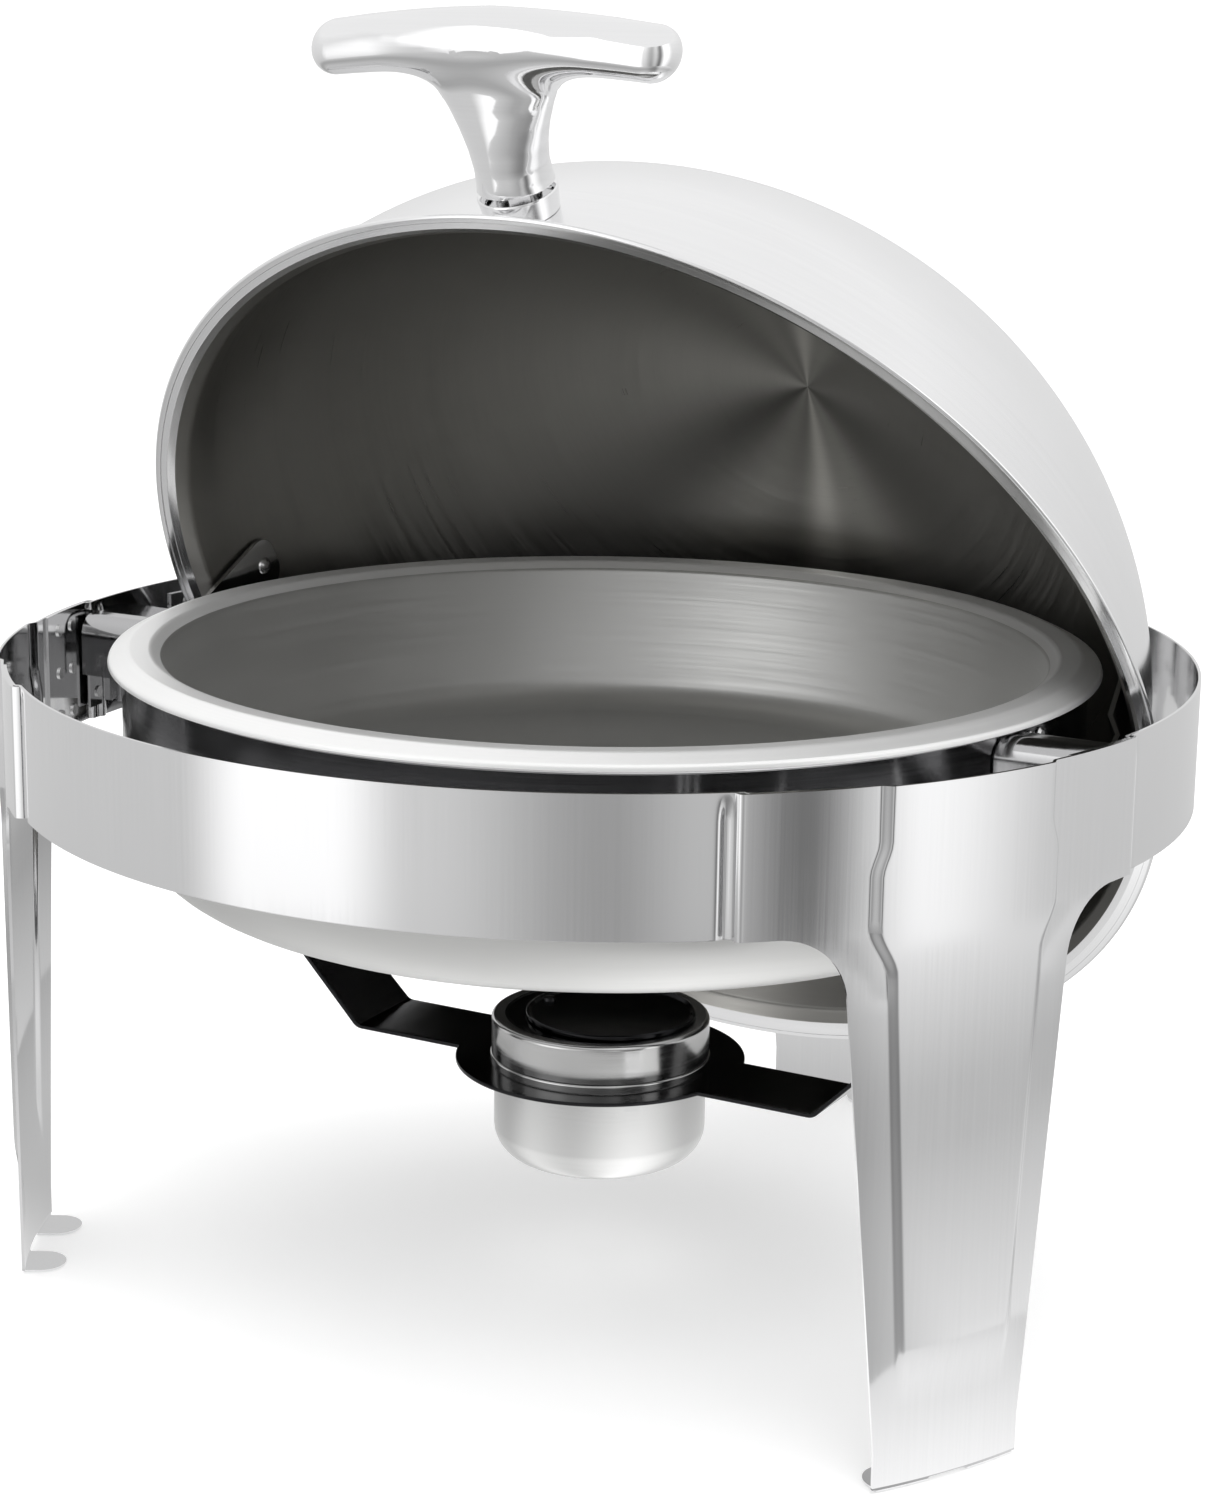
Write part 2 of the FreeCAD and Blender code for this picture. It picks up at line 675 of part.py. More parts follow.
def ellipsoid(side, rise, low_angle):
    """Dome of an ellipsoid above the rim plane."""
    dome = bind(doc.addObject("Part::Ellipsoid", "ellipsoid"), Radius1=rise, Radius2=side, Radius3=side)
    dome.Angle1 = low_angle
    dome.Angle2 = 90
    return place(dome, z=S.rim_above_pivot)


handle_y = -(S.dome_radius * root(1 - (S.handle_rise / S.dome_rise) * (S.handle_rise / S.dome_rise)))
handle_z = S.rim_above_pivot + S.handle_rise
HANDLE_PLACE = {"y": handle_y, "z": handle_z, "roll": 90 - S.handle_tilt}


def make_dome():
    """Lid: a polished dome with a flared, hemmed rim and two holes for the handle screws."""
    inner_side, inner_rise = S.dome_radius - S.lid_steel, S.dome_rise - S.lid_steel
    shell = join("Cut", ellipsoid(S.dome_radius, S.dome_rise, 0), ellipsoid(inner_side, inner_rise, -60))
    low = S.rim_above_pivot
    edge = S.rim_radius
    rim = turned(None, [
        (inner_side - 0.15, low), (edge - 1.2, low), (edge, low + 1.2), (edge - 1.2, low + S.rim_thick),
        (edge - 6.2, low + S.rim_thick), (S.dome_radius + 1.6, low + 4.6),
        (S.dome_radius - 0.15, low + 9), (inner_side - 0.15, low + 9)])
    holes = [cylinder(S.screw_radius + 0.02, 30, x=x, z=-15) for x in (-S.screw_spread, S.screw_spread)]
    drilled = place(join_one(group(holes)), **HANDLE_PLACE)
    return opened(join("Cut", join("MultiFuse", shell, rim), drilled), "lid_dome")


def make_lug():
    """Bent strip that hangs the lid on its hinge bolt."""
    steel = S.lug_steel
    bend = S.rim_above_pivot - 4
    outer = [(lug_outer, -S.lug_width / 2), (lug_outer, bend - 10), (S.lug_bend_face, bend),
             (S.lug_top_face, S.lug_top)]
    inner = [(x - steel, z) for x, z in reversed(outer)]
    body = new_body("lug")
    sketch = new_sketch(body, "XZ_Plane")
    outline(sketch, outer + inner)
    pad(body, sketch, S.lug_width, both_ways=True)
    half = S.lug_width / 2
    for height, radius in ((-half, S.lug_width * 0.49), (S.lug_top, S.lug_width * 0.35)):
        round_edges(body, edges_where(body, lambda edge: (
            not near(edge.Vertexes[0].Point.x, edge.Vertexes[-1].Point.x, 1)
            and near(abs(edge.CenterOfMass.y), half) and near(edge.CenterOfMass.z, height, 0.6))), radius)
    hole = stub(S.bolt_radius + S.pin_fit, lug_inner - 5, lug_outer + 5, pitch=90)
    return join("Cut", body, hole)


lug = make_lug()
opened(lug, "lid_lug_right")
twin_lug = doc.addObject("Part::Mirroring", "twin_lug")
twin_lug.Source = lug
twin_lug.Normal = (1, 0, 0)
opened(twin_lug, "lid_lug_left")


def make_lug_rivets():
    """Domed rivets that hold both lugs to the dome's wall."""
    rivets = []
    slope = (S.lug_bend_face - S.lug_top_face) / (S.lug_top - S.rim_above_pivot + 4)
    lean = Term(math.degrees(math.atan(number(slope))), f"atan({slope.text}) / 1 deg")
    for pitch in (90, -90):
        way = 1 if pitch > 0 else -1
        for rise in (S.lug_rivet_low, S.lug_rivet_high):
            face = S.lug_bend_face - slope * (rise + 4) - S.lug_steel
            rivets.append(turned(None, [
                (0, -1.9), (2.2, -1.6), (3.6, -0.7), (3.9, -0.02), (0, -0.02)],
                x=face * way, z=S.rim_above_pivot + rise, pitch=90 * way - lean * way))
    opened(group(rivets), "lid_lug_rivets")


make_dome()
make_lug_rivets()


# ---------------------------------------------------------------- handle, along its own axis
def screw_holes(height, start):
    """Solids for the two screw holes along the handle's axis."""
    return group([cylinder(S.screw_radius + S.fit, height, x=x, z=start)
                  for x in (-S.screw_spread, S.screw_spread)])


def make_collar():
    """Conical collar between the dome and the grip, hollowed underneath to sit on the dome."""
    foot, height = S.collar_foot, S.collar_height
    body = turned(None, [
        (0, 0.4), (foot - 1.4, 0.4), (foot - 1.1, -0.35), (foot, -0.4), (S.collar_radius, height - 0.6),
        (S.collar_radius - 0.5, height), (0, height)])
    collar = place(join("Cut", body, screw_holes(40, -5)), **HANDLE_PLACE)
    return opened(collar, "handle_collar")


# Sections of the grip's neck: part of its height, and its half width and half depth.
NECK_SECTIONS = [(0, 16.0, 15.0), (0.09, 15.2, 14.5), (0.18, 15.0, 13.9), (0.32, 16.4, 13.3),
                 (0.45, 19.0, 12.8), (0.58, 22.5, 12.2), (0.72, 27.5, 11.9), (0.85, 33.0, 11.7),
                 (0.98, 38.0, 11.6)]


def ellipse(long_half, short_half):
    """Closed ellipse wire in the XY plane, with its long way along X."""
    return Part.Wire([Part.Ellipse(Vector(0, 0, 0), long_half, short_half).toShape()])


def make_neck():
    """Oval neck that leans back and flares upwards into the bar."""
    start = S.collar_height.value + 0.15
    span = S.grip_reach.value - start
    sections = []
    for part, half_x, half_y in NECK_SECTIONS:
        wire = ellipse(half_x, half_y)
        wire.translate(Vector(0, S.neck_lean.value * part ** 1.5, start + span * part))
        sections.append(wire)
    return Part.makeLoft(sections, True, False)


def make_bar():
    """Crowned cross bar: oval sections along X that shrink towards two rounded ends."""
    bend = S.bar_round.value
    straight = S.grip_half.value - bend
    stations = [(straight * step / 4, 1.0) for step in range(5)]
    for angle in (20, 38, 54, 68, 80):
        stations.append((straight + bend * math.sin(math.radians(angle)), math.cos(math.radians(angle))))
    stations = [(-x, size) for x, size in reversed(stations[1:])] + stations
    sections = []
    for x, size in stations:
        along = min(1.0, abs(x) / straight)
        tall = S.bar_tall.value + (S.bar_end_tall.value - S.bar_tall.value) * along
        wire = ellipse(S.bar_deep.value * size, tall * size)
        wire.rotate(Vector(0, 0, 0), Vector(1, 0, 0), 90)
        wire.rotate(Vector(0, 0, 0), Vector(0, 0, 1), 90)
        wire.translate(Vector(x, S.neck_lean.value, S.grip_reach.value - S.grip_droop.value * along ** 2))
        sections.append(wire)
    return Part.makeLoft(sections, True, False)


def make_grip():
    """Cast T grip: the neck and the bar as one solid, drilled for the two screws."""
    holder = doc.addObject("Part::Feature", "grip_shape")
    holder.Shape = make_neck().fuse(make_bar()).removeSplitter()
    drilled = join("Cut", holder, screw_holes(26, 0))
    return opened(place(drilled, **HANDLE_PLACE), "handle_grip")


def make_handle_screws():
    """Two screws from inside the dome through the collar into the grip, with washers."""
    screws, washers = [], []
    inside = -S.lid_steel - 0.6
    for x in (-S.screw_spread, S.screw_spread):
        radius = S.screw_radius
        seat = inside - 1.0
        screws.append(place(revolve("screw", [
            (0, seat - 2.6), (2.6, seat - 2.4), (4.4, seat - 1.2), (4.6, seat), (radius, seat),
            (radius, 24), (0, 24)]), x=x))
        washers.append(place(revolve("washer", [
            (radius + S.fit, seat + S.fit), (S.screw_washer, seat + S.fit), (S.screw_washer, inside),
            (radius + S.fit, inside)]), x=x))
    opened(place(join_one(group(screws)), **HANDLE_PLACE), "handle_screws")
    opened(place(join_one(group(washers)), **HANDLE_PLACE), "handle_washers")


make_collar()
make_grip()
make_handle_screws()


def finish():
    """Check every object, then write each sub-part to its own file."""
    doc.recompute()
    failed = [obj.Label for obj in doc.Objects if {"Invalid", "Error"} & set(obj.State)]
    for obj in PIECES:
        if obj.Shape.isNull() or not obj.Shape.isValid() or not obj.Shape.Solids:
            failed.append(obj.Label)
    if failed:
        raise ValueError(f"these failed: {failed}")
    os.makedirs("parts", exist_ok=True)
    for obj in PIECES:
        obj.Shape.exportStep(f"parts/{obj.Label}.step")
        print(f"{obj.Label}: {len(obj.Shape.Solids)} solid(s), {obj.Shape.Volume:.0f} mm3")


finish()
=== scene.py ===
"""Roll top chafer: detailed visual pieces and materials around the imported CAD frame."""

import math

import bmesh
import bpy
import numpy as np
from mathutils import Matrix, Vector


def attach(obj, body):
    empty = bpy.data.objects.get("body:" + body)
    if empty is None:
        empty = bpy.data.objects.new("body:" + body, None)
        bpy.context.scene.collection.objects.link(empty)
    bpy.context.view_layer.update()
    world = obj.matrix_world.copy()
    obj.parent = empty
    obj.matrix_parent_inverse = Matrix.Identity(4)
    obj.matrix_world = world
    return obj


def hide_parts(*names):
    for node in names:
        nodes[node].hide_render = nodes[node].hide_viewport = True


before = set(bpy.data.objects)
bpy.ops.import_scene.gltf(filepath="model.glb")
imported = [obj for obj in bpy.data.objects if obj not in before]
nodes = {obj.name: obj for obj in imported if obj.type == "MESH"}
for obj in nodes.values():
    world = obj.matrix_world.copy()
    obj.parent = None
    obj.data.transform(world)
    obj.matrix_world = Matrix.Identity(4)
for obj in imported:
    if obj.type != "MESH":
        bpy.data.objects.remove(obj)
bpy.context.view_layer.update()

MM = 0.001

# Sizes in millimetres. They repeat the CAD model's, because this script can't read it.
RING_TOP = 270.0
BAND_LOW = 217.0
BAND_INNER = 243.8
STEEL = 1.2
LAP_STEP = 2.0
LEG_OUTER = 248.2
RIB_PROUD = 2.35
LEG_HALF = 21.4
PIVOT_Z = 241.0
LID_OPEN = 58.0
RIM_Z = 28.7
DOME_SIDE = 220.0
DOME_RISE = 196.0
RIM_RADIUS = 232.4
HANDLE_RISE = 24.5
HANDLE_TILT = 8.0
GRIP_BASE = 9.15
GRIP_REACH = 68.8
GRIP_HALF = 79.0

RIGHT_LEG = -29.0
REAR_LEG = 90.0
LEFT_LEG = 209.0


# ---------------------------------------------------------------- placing
def shift(x, y, z):
    return Matrix.Translation(Vector((x, y, z)) * MM)


def turn(degrees, axis):
    return Matrix.Rotation(math.radians(degrees), 4, axis)


LID = shift(0, 0, PIVOT_Z) @ turn(-LID_OPEN, "X")
HANDLE_Y = -DOME_SIDE * math.sqrt(1 - (HANDLE_RISE / DOME_RISE) ** 2)
HANDLE = LID @ shift(0, HANDLE_Y, RIM_Z + HANDLE_RISE) @ turn(90 - HANDLE_TILT, "X")


# ---------------------------------------------------------------- node materials
def new_material(name):
    material = bpy.data.materials.new(name)
    material.use_nodes = True
    tree = material.node_tree
    return material, tree, tree.nodes["Principled BSDF"]


def add(tree, kind, **values):
    """A node with its properties (lower case) and inputs (by name or index) set."""
    node = tree.nodes.new(kind)
    for key, value in values.pop("inputs", {}).items():
        node.inputs[key].default_value = value
    for key, value in values.items():
        setattr(node, key, value)
    return node


def link(tree, start, end):
    tree.links.new(start, end)


def feed(tree, socket, value):
    """A constant set on the socket, or another node's output linked to it."""
    if isinstance(value, (int, float)):
        socket.default_value = value
    else:
        link(tree, value, socket)


def math_node(tree, operation, *values):
    node = add(tree, "ShaderNodeMath", operation=operation)
    for socket, value in zip(node.inputs, values):
        feed(tree, socket, value)
    return node.outputs[0]


def vector_of(tree, x, y, z):
    node = add(tree, "ShaderNodeCombineXYZ")
    for socket, value in zip(node.inputs, (x, y, z)):
        feed(tree, socket, value)
    return node.outputs[0]


def split_vector(tree, vector):
    node = add(tree, "ShaderNodeSeparateXYZ")
    link(tree, vector, node.inputs[0])
    return node.outputs


def flat_distance(tree, x, y):
    """Distance from the Z axis."""
    squares = [math_node(tree, "MULTIPLY", side, side) for side in (x, y)]
    return math_node(tree, "SQRT", math_node(tree, "ADD", *squares))


def mapped(tree, start, matrix, kind):
    """A vector taken through the matrix: as a point, or as a direction with kind VECTOR."""
    node = add(tree, "ShaderNodeMapping", vector_type=kind)
    if kind == "POINT":
        node.inputs["Location"].default_value = matrix.translation
    node.inputs["Rotation"].default_value = matrix.to_euler()
    link(tree, start, node.inputs["Vector"])
    return node.outputs[0]


def local_place(tree, place):
    """Object coordinates, brought back into the piece's own frame when it has one."""
    start = add(tree, "ShaderNodeTexCoord").outputs["Object"]
    return start if place is None else mapped(tree, start, place.inverted(), "POINT")


def round_tangent(tree, place):
    """Direction round the piece's own Z axis, in world space."""
    x, y, _ = split_vector(tree, local_place(tree, place))
    around = vector_of(tree, math_node(tree, "MULTIPLY", y, -1.0), x, 0.0)
    if place is not None:
        around = mapped(tree, around, place, "VECTOR")
    world = add(tree, "ShaderNodeVectorTransform", vector_type="VECTOR", convert_from="OBJECT",
                convert_to="WORLD")
    link(tree, around, world.inputs[0])
    unit = add(tree, "ShaderNodeVectorMath", operation="NORMALIZE")
    link(tree, world.outputs[0], unit.inputs[0])
    return unit.outputs[0]


def painted_fan_sheen(tree, place, painted_streaks):
    """Painted sheen and shade: a brightness factor by direction round the Z axis: 1, and more near each
    (degrees, width, gain), or less where the gain is negative.
    """
    x, y, _ = split_vector(tree, local_place(tree, place))
    angle = math_node(tree, "ARCTAN2", y, x)
    total = 1.0
    for degrees, width, gain in painted_streaks:
        off = math_node(tree, "SUBTRACT", angle, math.radians(degrees))
        off = math_node(tree, "WRAP", off, math.pi)
        off.node.inputs[2].default_value = -math.pi
        off = math_node(tree, "DIVIDE", off, math.radians(width))
        square = math_node(tree, "MULTIPLY", math_node(tree, "MULTIPLY", off, off), -1.0)
        peak = math_node(tree, "MULTIPLY", math_node(tree, "EXPONENT", square), gain)
        total = math_node(tree, "ADD", peak, total)
    return total


# How often the grain's noise repeats in a metre across its lines and along them.
GRAIN_ACROSS = 900.0
GRAIN_ALONG = 9.0


def grain_vector(tree, direction, coordinates):
    """The coordinates stretched so that noise on them runs as fine lines in one direction."""
    x, y, z = split_vector(tree, coordinates)
    if direction == "upright":
        axes, scales = (x, y, z), (GRAIN_ACROSS, GRAIN_ACROSS, GRAIN_ALONG)
    elif direction == "level":
        axes, scales = (x, y, z), (GRAIN_ALONG, GRAIN_ALONG, GRAIN_ACROSS)
    else:
        axes = (flat_distance(tree, x, y), math_node(tree, "ARCTAN2", y, x), z)
        scales = (GRAIN_ACROSS, 1.2, 500.0)
    return vector_of(tree, *(math_node(tree, "MULTIPLY", axis, scale) for axis, scale in zip(axes, scales)))


def metal(name, tint, rough, grain="upright", grain_rough=0.05, bump=0.03, smudge=0.06,
          anisotropic=0.0, tint_dark=0.9, place=None, metallic=1.0, painted_streaks=()):
    """Steel with fine grain lines and soft smudges, and optional painted sheen: brighter and darker streaks
    of colour round its axis.
    """
    material, tree, shader = new_material(name)
    coordinates = local_place(tree, place)
    along = grain_vector(tree, grain, coordinates)
    fine = add(tree, "ShaderNodeTexNoise", inputs={"Scale": 1.0, "Detail": 3.0, "Roughness": 0.6})
    link(tree, along, fine.inputs["Vector"])
    slow = add(tree, "ShaderNodeTexNoise", inputs={"Scale": 14.0, "Detail": 3.0, "Roughness": 0.55})
    link(tree, coordinates, slow.inputs["Vector"])
    rough_fine = add(tree, "ShaderNodeMapRange", inputs={
        "From Min": 0.3, "From Max": 0.7, "To Min": rough - grain_rough, "To Max": rough + grain_rough})
    link(tree, fine.outputs[0], rough_fine.inputs["Value"])
    rough_slow = add(tree, "ShaderNodeMapRange", inputs={
        "From Min": 0.35, "From Max": 0.7, "To Min": 0.0, "To Max": smudge})
    link(tree, slow.outputs[0], rough_slow.inputs["Value"])
    link(tree, math_node(tree, "ADD", rough_fine.outputs[0], rough_slow.outputs[0]),
         shader.inputs["Roughness"])
    colour = add(tree, "ShaderNodeMix", data_type="RGBA")
    colour.inputs["A"].default_value = tuple(c * tint_dark for c in tint) + (1.0,)
    colour.inputs["B"].default_value = tuple(tint) + (1.0,)
    mixed = math_node(tree, "ADD", math_node(tree, "MULTIPLY", fine.outputs[0], 0.6),
                      math_node(tree, "MULTIPLY", slow.outputs[0], 0.5))
    link(tree, mixed, colour.inputs["Factor"])
    shade = colour.outputs["Result"]
    # Painted sheen: the colour scaled brighter and darker by direction round the axis.
    if painted_streaks:
        scale = add(tree, "ShaderNodeVectorMath", operation="SCALE")
        link(tree, shade, scale.inputs[0])
        link(tree, painted_fan_sheen(tree, place, painted_streaks), scale.inputs["Scale"])
        shade = scale.outputs[0]
    link(tree, shade, shader.inputs["Base Color"])
    shader.inputs["Metallic"].default_value = metallic
    if anisotropic:
        shader.inputs["Anisotropic"].default_value = anisotropic
        link(tree, round_tangent(tree, place), shader.inputs["Tangent"])
    grooves = add(tree, "ShaderNodeBump", inputs={"Strength": bump, "Distance": 0.0004})
    link(tree, fine.outputs[0], grooves.inputs["Height"])
    link(tree, grooves.outputs[0], shader.inputs["Normal"])
    return material


def plastic(name, tint, rough):
    """Moulded plastic: faint mottling in colour and gloss, and a fine pitted surface."""
    material, tree, shader = new_material(name)
    place = add(tree, "ShaderNodeTexCoord").outputs["Object"]
    noise = add(tree, "ShaderNodeTexNoise", inputs={"Scale": 300.0, "Detail": 4.0})
    link(tree, place, noise.inputs["Vector"])
    colour = add(tree, "ShaderNodeMix", data_type="RGBA")
    colour.inputs["A"].default_value = tuple(c * 0.85 for c in tint) + (1.0,)
    colour.inputs["B"].default_value = tuple(tint) + (1.0,)
    link(tree, noise.outputs[0], colour.inputs["Factor"])
    link(tree, colour.outputs["Result"], shader.inputs["Base Color"])
    spread = add(tree, "ShaderNodeMapRange", inputs={"To Min": rough - 0.1, "To Max": rough + 0.1})
    link(tree, noise.outputs[0], spread.inputs["Value"])
    link(tree, spread.outputs[0], shader.inputs["Roughness"])
    pits = add(tree, "ShaderNodeBump", inputs={"Strength": 0.2, "Distance": 0.0002})
    link(tree, noise.outputs[0], pits.inputs["Height"])
    link(tree, pits.outputs[0], shader.inputs["Normal"])
    return material


WHITE_STEEL = (0.83, 0.83, 0.835)
# Painted sheen and shade inside the lid, in place of brushed highlights: direction round its axis in
# degrees, width and gain.
PAINTED_FAN = [(92, 7, 1.6), (76, 12, 0.6), (118, 14, 0.4), (-80, 9, 1.6), (-104, 14, 0.6), (-60, 14, 0.5),
       (-160, 32, 0.7), (45, 24, -0.35), (150, 20, -0.5)]
polished = metal("polished_sheet", WHITE_STEEL, 0.07, grain_rough=0.03, bump=0.012, smudge=0.05)
dome_outside = metal("dome_outside", (0.9, 0.9, 0.905), 0.15, grain="spun", grain_rough=0.03,
                     bump=0.008, smudge=0.07, anisotropic=0.4, place=LID)
# The lid's inside gets painted sheen and shade in streaks round its axis.
dome_inside = metal("dome_inside", (0.3, 0.295, 0.28), 0.34, grain="spun", grain_rough=0.08,
                    bump=0.03, anisotropic=0.75, tint_dark=0.76, place=LID, painted_streaks=PAINTED_FAN)
pan_satin = metal("pan_satin", (0.94, 0.94, 0.935), 0.34, grain="spun", grain_rough=0.05, bump=0.02,
                  anisotropic=0.4, metallic=0.5)
pan_inside = metal("pan_inside", (0.64, 0.64, 0.63), 0.38, grain="spun", grain_rough=0.06, bump=0.03,
                   anisotropic=0.5, metallic=0.8)
pan_bright = metal("pan_bright", (0.74, 0.74, 0.745), 0.12, grain="level", grain_rough=0.04, bump=0.01)
# Painted shade: a darker tint of the mirror steel for the water pan's outer wall, standing in for the
# shaded gap behind the band.
pan_wall_painted_shade = metal("pan_wall_painted_shade", (0.36, 0.36, 0.365), 0.12, grain="level", grain_rough=0.04, bump=0.01)
cup_steel = metal("cup_steel", (0.68, 0.68, 0.675), 0.17, grain="level", grain_rough=0.05, bump=0.02)
# Painted reflection: near-black steel standing in for the dark underside of the water pan mirrored in
# polished steel.
dark_painted_reflection = metal("dark_painted_reflection", (0.035, 0.035, 0.037), 0.1, grain="level", grain_rough=0.03,
                    bump=0.01, smudge=0.08, tint_dark=0.7)
cast_bright = metal("cast_bright", (0.88, 0.88, 0.885), 0.045, grain="level", grain_rough=0.015,
                    bump=0.004, smudge=0.03)
fastener = metal("fastener_steel", (0.7, 0.7, 0.7), 0.2, grain="spun", bump=0.02)
pressed_steel = metal("pressed_steel", (0.5, 0.5, 0.505), 0.11, grain_rough=0.04, bump=0.02)
spot_steel = metal("spot_steel", (0.8, 0.8, 0.8), 0.22, grain="upright", bump=0.03)
nylon = plastic("nylon_washer", (0.78, 0.77, 0.72), 0.5)


# ---------------------------------------------------------------- mesh helpers
def finish_mesh(mesh, materials, sharp=32):
    """Weld doubled corners, point the faces outwards, and shade smooth between sharp edges."""
    shape = bmesh.new()
    shape.from_mesh(mesh)
    bmesh.ops.remove_doubles(shape, verts=shape.verts, dist=2e-7)
    bmesh.ops.dissolve_degenerate(shape, edges=shape.edges, dist=1e-8)
    bmesh.ops.recalc_face_normals(shape, faces=shape.faces)
    shape.to_mesh(mesh)
    shape.free()
    mesh.shade_smooth()
    mesh.set_sharp_from_angle(angle=math.radians(sharp))
    for material in materials:
        mesh.materials.append(material)


def piece(name, verts, faces, materials, body, node, matrix=None, sharp=32,
          face_slots=None, bevel=0.0, solid=0.0):
    """Mesh piece in millimetres, placed, riding on its body and standing for a CAD node."""
    mesh = bpy.data.meshes.new(name)
    mesh.from_pydata([Vector(v) * MM for v in verts], [], faces)
    if matrix is not None:
        mesh.transform(matrix)
    if face_slots is not None:
        mesh.polygons.foreach_set("material_index", face_slots)
    obj = bpy.data.objects.new(name, mesh)
    bpy.context.scene.collection.objects.link(obj)
    finish_mesh(mesh, materials, sharp)
    if solid:
        wall = obj.modifiers.new("wall", "SOLIDIFY")
        wall.thickness = solid * MM
        wall.offset = -1
        wall.use_even_offset = True
    if bevel:
        edge = obj.modifiers.new("edge", "BEVEL")
        edge.width = bevel * MM
        edge.segments = 2
        edge.limit_method = "ANGLE"
        edge.angle_limit = math.radians(50)
    obj.modifiers.new("weighted", "WEIGHTED_NORMAL").keep_sharp = True
    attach(obj, body)
    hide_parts(node)
    return obj


def arc_corner(before, corner, after, radius, steps):
    """Points of an arc of that radius in place of a corner."""
    before, corner, after = (np.array(p[:2], float) for p in (before, corner, after))
    one, two = before - corner, after - corner
    len_one, len_two = np.linalg.norm(one), np.linalg.norm(two)
    one, two = one / len_one, two / len_two
    angle = math.acos(max(-1.0, min(1.0, float(one @ two))))
    reach = min(radius / math.tan(angle / 2), len_one * 0.499, len_two * 0.499)
    radius = reach * math.tan(angle / 2)
    centre = corner + (one + two) / np.linalg.norm(one + two) * (radius / math.sin(angle / 2))
    first = corner + one * reach - centre
    last = corner + two * reach - centre
    a0, a1 = math.atan2(first[1], first[0]), math.atan2(last[1], last[0])
    sweep = (a1 - a0 + math.pi) % (2 * math.pi) - math.pi
    return [tuple(centre + radius * np.array([math.cos(a0 + sweep * i / steps),
                                              math.sin(a0 + sweep * i / steps)]))
            for i in range(steps + 1)]


def rounded(corners, steps=6):
    """Closed outline of (x, y) or (x, y, radius) corners, with the rounded ones as arcs."""
    points = []
    count = len(corners)
    for index, corner in enumerate(corners):
        if len(corner) > 2 and corner[2] > 0:
            points += arc_corner(corners[index - 1], corner, corners[(index + 1) % count], corner[2], steps)
        else:
            points.append((corner[0], corner[1]))
    return points


def lathe(profile, steps):
    """Vertices, faces and the profile index of each face for a closed outline turned about Z."""
    verts, faces, owner, index = [], [], [], []
    for radius, height in profile:
        if radius < 1e-6:
            index.append([len(verts)] * steps)
            verts.append((0.0, 0.0, height))
            continue
        index.append(list(range(len(verts), len(verts) + steps)))
        verts += [polar(radius, 360.0 * i / steps, height) for i in range(steps)]
    count = len(profile)
    for p in range(count):
        here, there = index[p], index[(p + 1) % count]
        for i in range(steps):
            j = (i + 1) % steps
            corner = [here[i], here[j], there[j], there[i]]
            corner = [c for k, c in enumerate(corner) if c not in corner[:k]]
            if len(corner) > 2:
                faces.append(corner)
                owner.append(p)
    return verts, faces, owner


def spin(name, corners, materials, body, node, matrix=None, steps=192, arcs=6, finish_of=None):
    """Turned piece. finish_of gives the material number of the face between two profile points."""
    profile = rounded(corners, arcs)
    verts, faces, owner = lathe(profile, steps)
    face_slots = None
    if finish_of is not None:
        face_slots = [int(finish_of(profile[p], profile[(p + 1) % len(profile)])) for p in owner]
    return piece(name, verts, faces, materials, body, node, matrix=matrix, face_slots=face_slots)


def grid(rows):
    """Vertices and faces of a grid given as rows of points of equal length."""
    width = len(rows[0])
    verts = [point for row in rows for point in row]
    faces = []
    for r in range(len(rows) - 1):
        for c in range(width - 1):
            faces.append([r * width + c, r * width + c + 1, (r + 1) * width + c + 1, (r + 1) * width + c])
    return verts, faces


def merge(*parts):
    """One vertex and face list from several."""
    verts, faces = [], []
    for more_verts, more_faces in parts:
        base = len(verts)
        verts += more_verts
        faces += [[base + i for i in face] for face in more_faces]
    return verts, faces


def ease(x):
    x = max(0.0, min(1.0, x))
    return x * x * (3 - 2 * x)


def between(x, table):
    """Straight-line value from a table of (x, value) rows in rising x."""
    return float(np.interp(x, [row[0] for row in table], [row[1] for row in table]))


def polar(radius, degrees, z):
    angle = math.radians(degrees)
    return (radius * math.cos(angle), radius * math.sin(angle), z)


# ---------------------------------------------------------------- ring band
# Directions round the ring, in degrees: gap between leg and band, how far the band runs behind the
# leg, and the groove beside the seam with its width. The groove's depth is in millimetres.
SEAM = 0.8
LAP = 9.4
GROOVE_PLACE = 0.62
GROOVE_WIDTH = 0.45
GROOVE = 1.7
# Distances below the ring's top edge where the band gets a row of points.
EDGE_DROPS = (14.0, 10.0, 7.5, 5.0, 3.0, 1.5, 0.4, 0.0)


def band_point(z, angle, start, end):
    """Point of the band's outer face: stepped out behind the legs, with a groove at each seam."""
    past = max(start - angle, angle - end)
    step = LAP_STEP * ease((past + 0.1) / 0.5)
    groove = GROOVE * math.exp(-((past + SEAM + GROOVE_PLACE) / GROOVE_WIDTH) ** 2)
    groove *= ease((RING_TOP - z) / 10.0)
    return polar(BAND_INNER + STEEL + step - groove, angle, z)


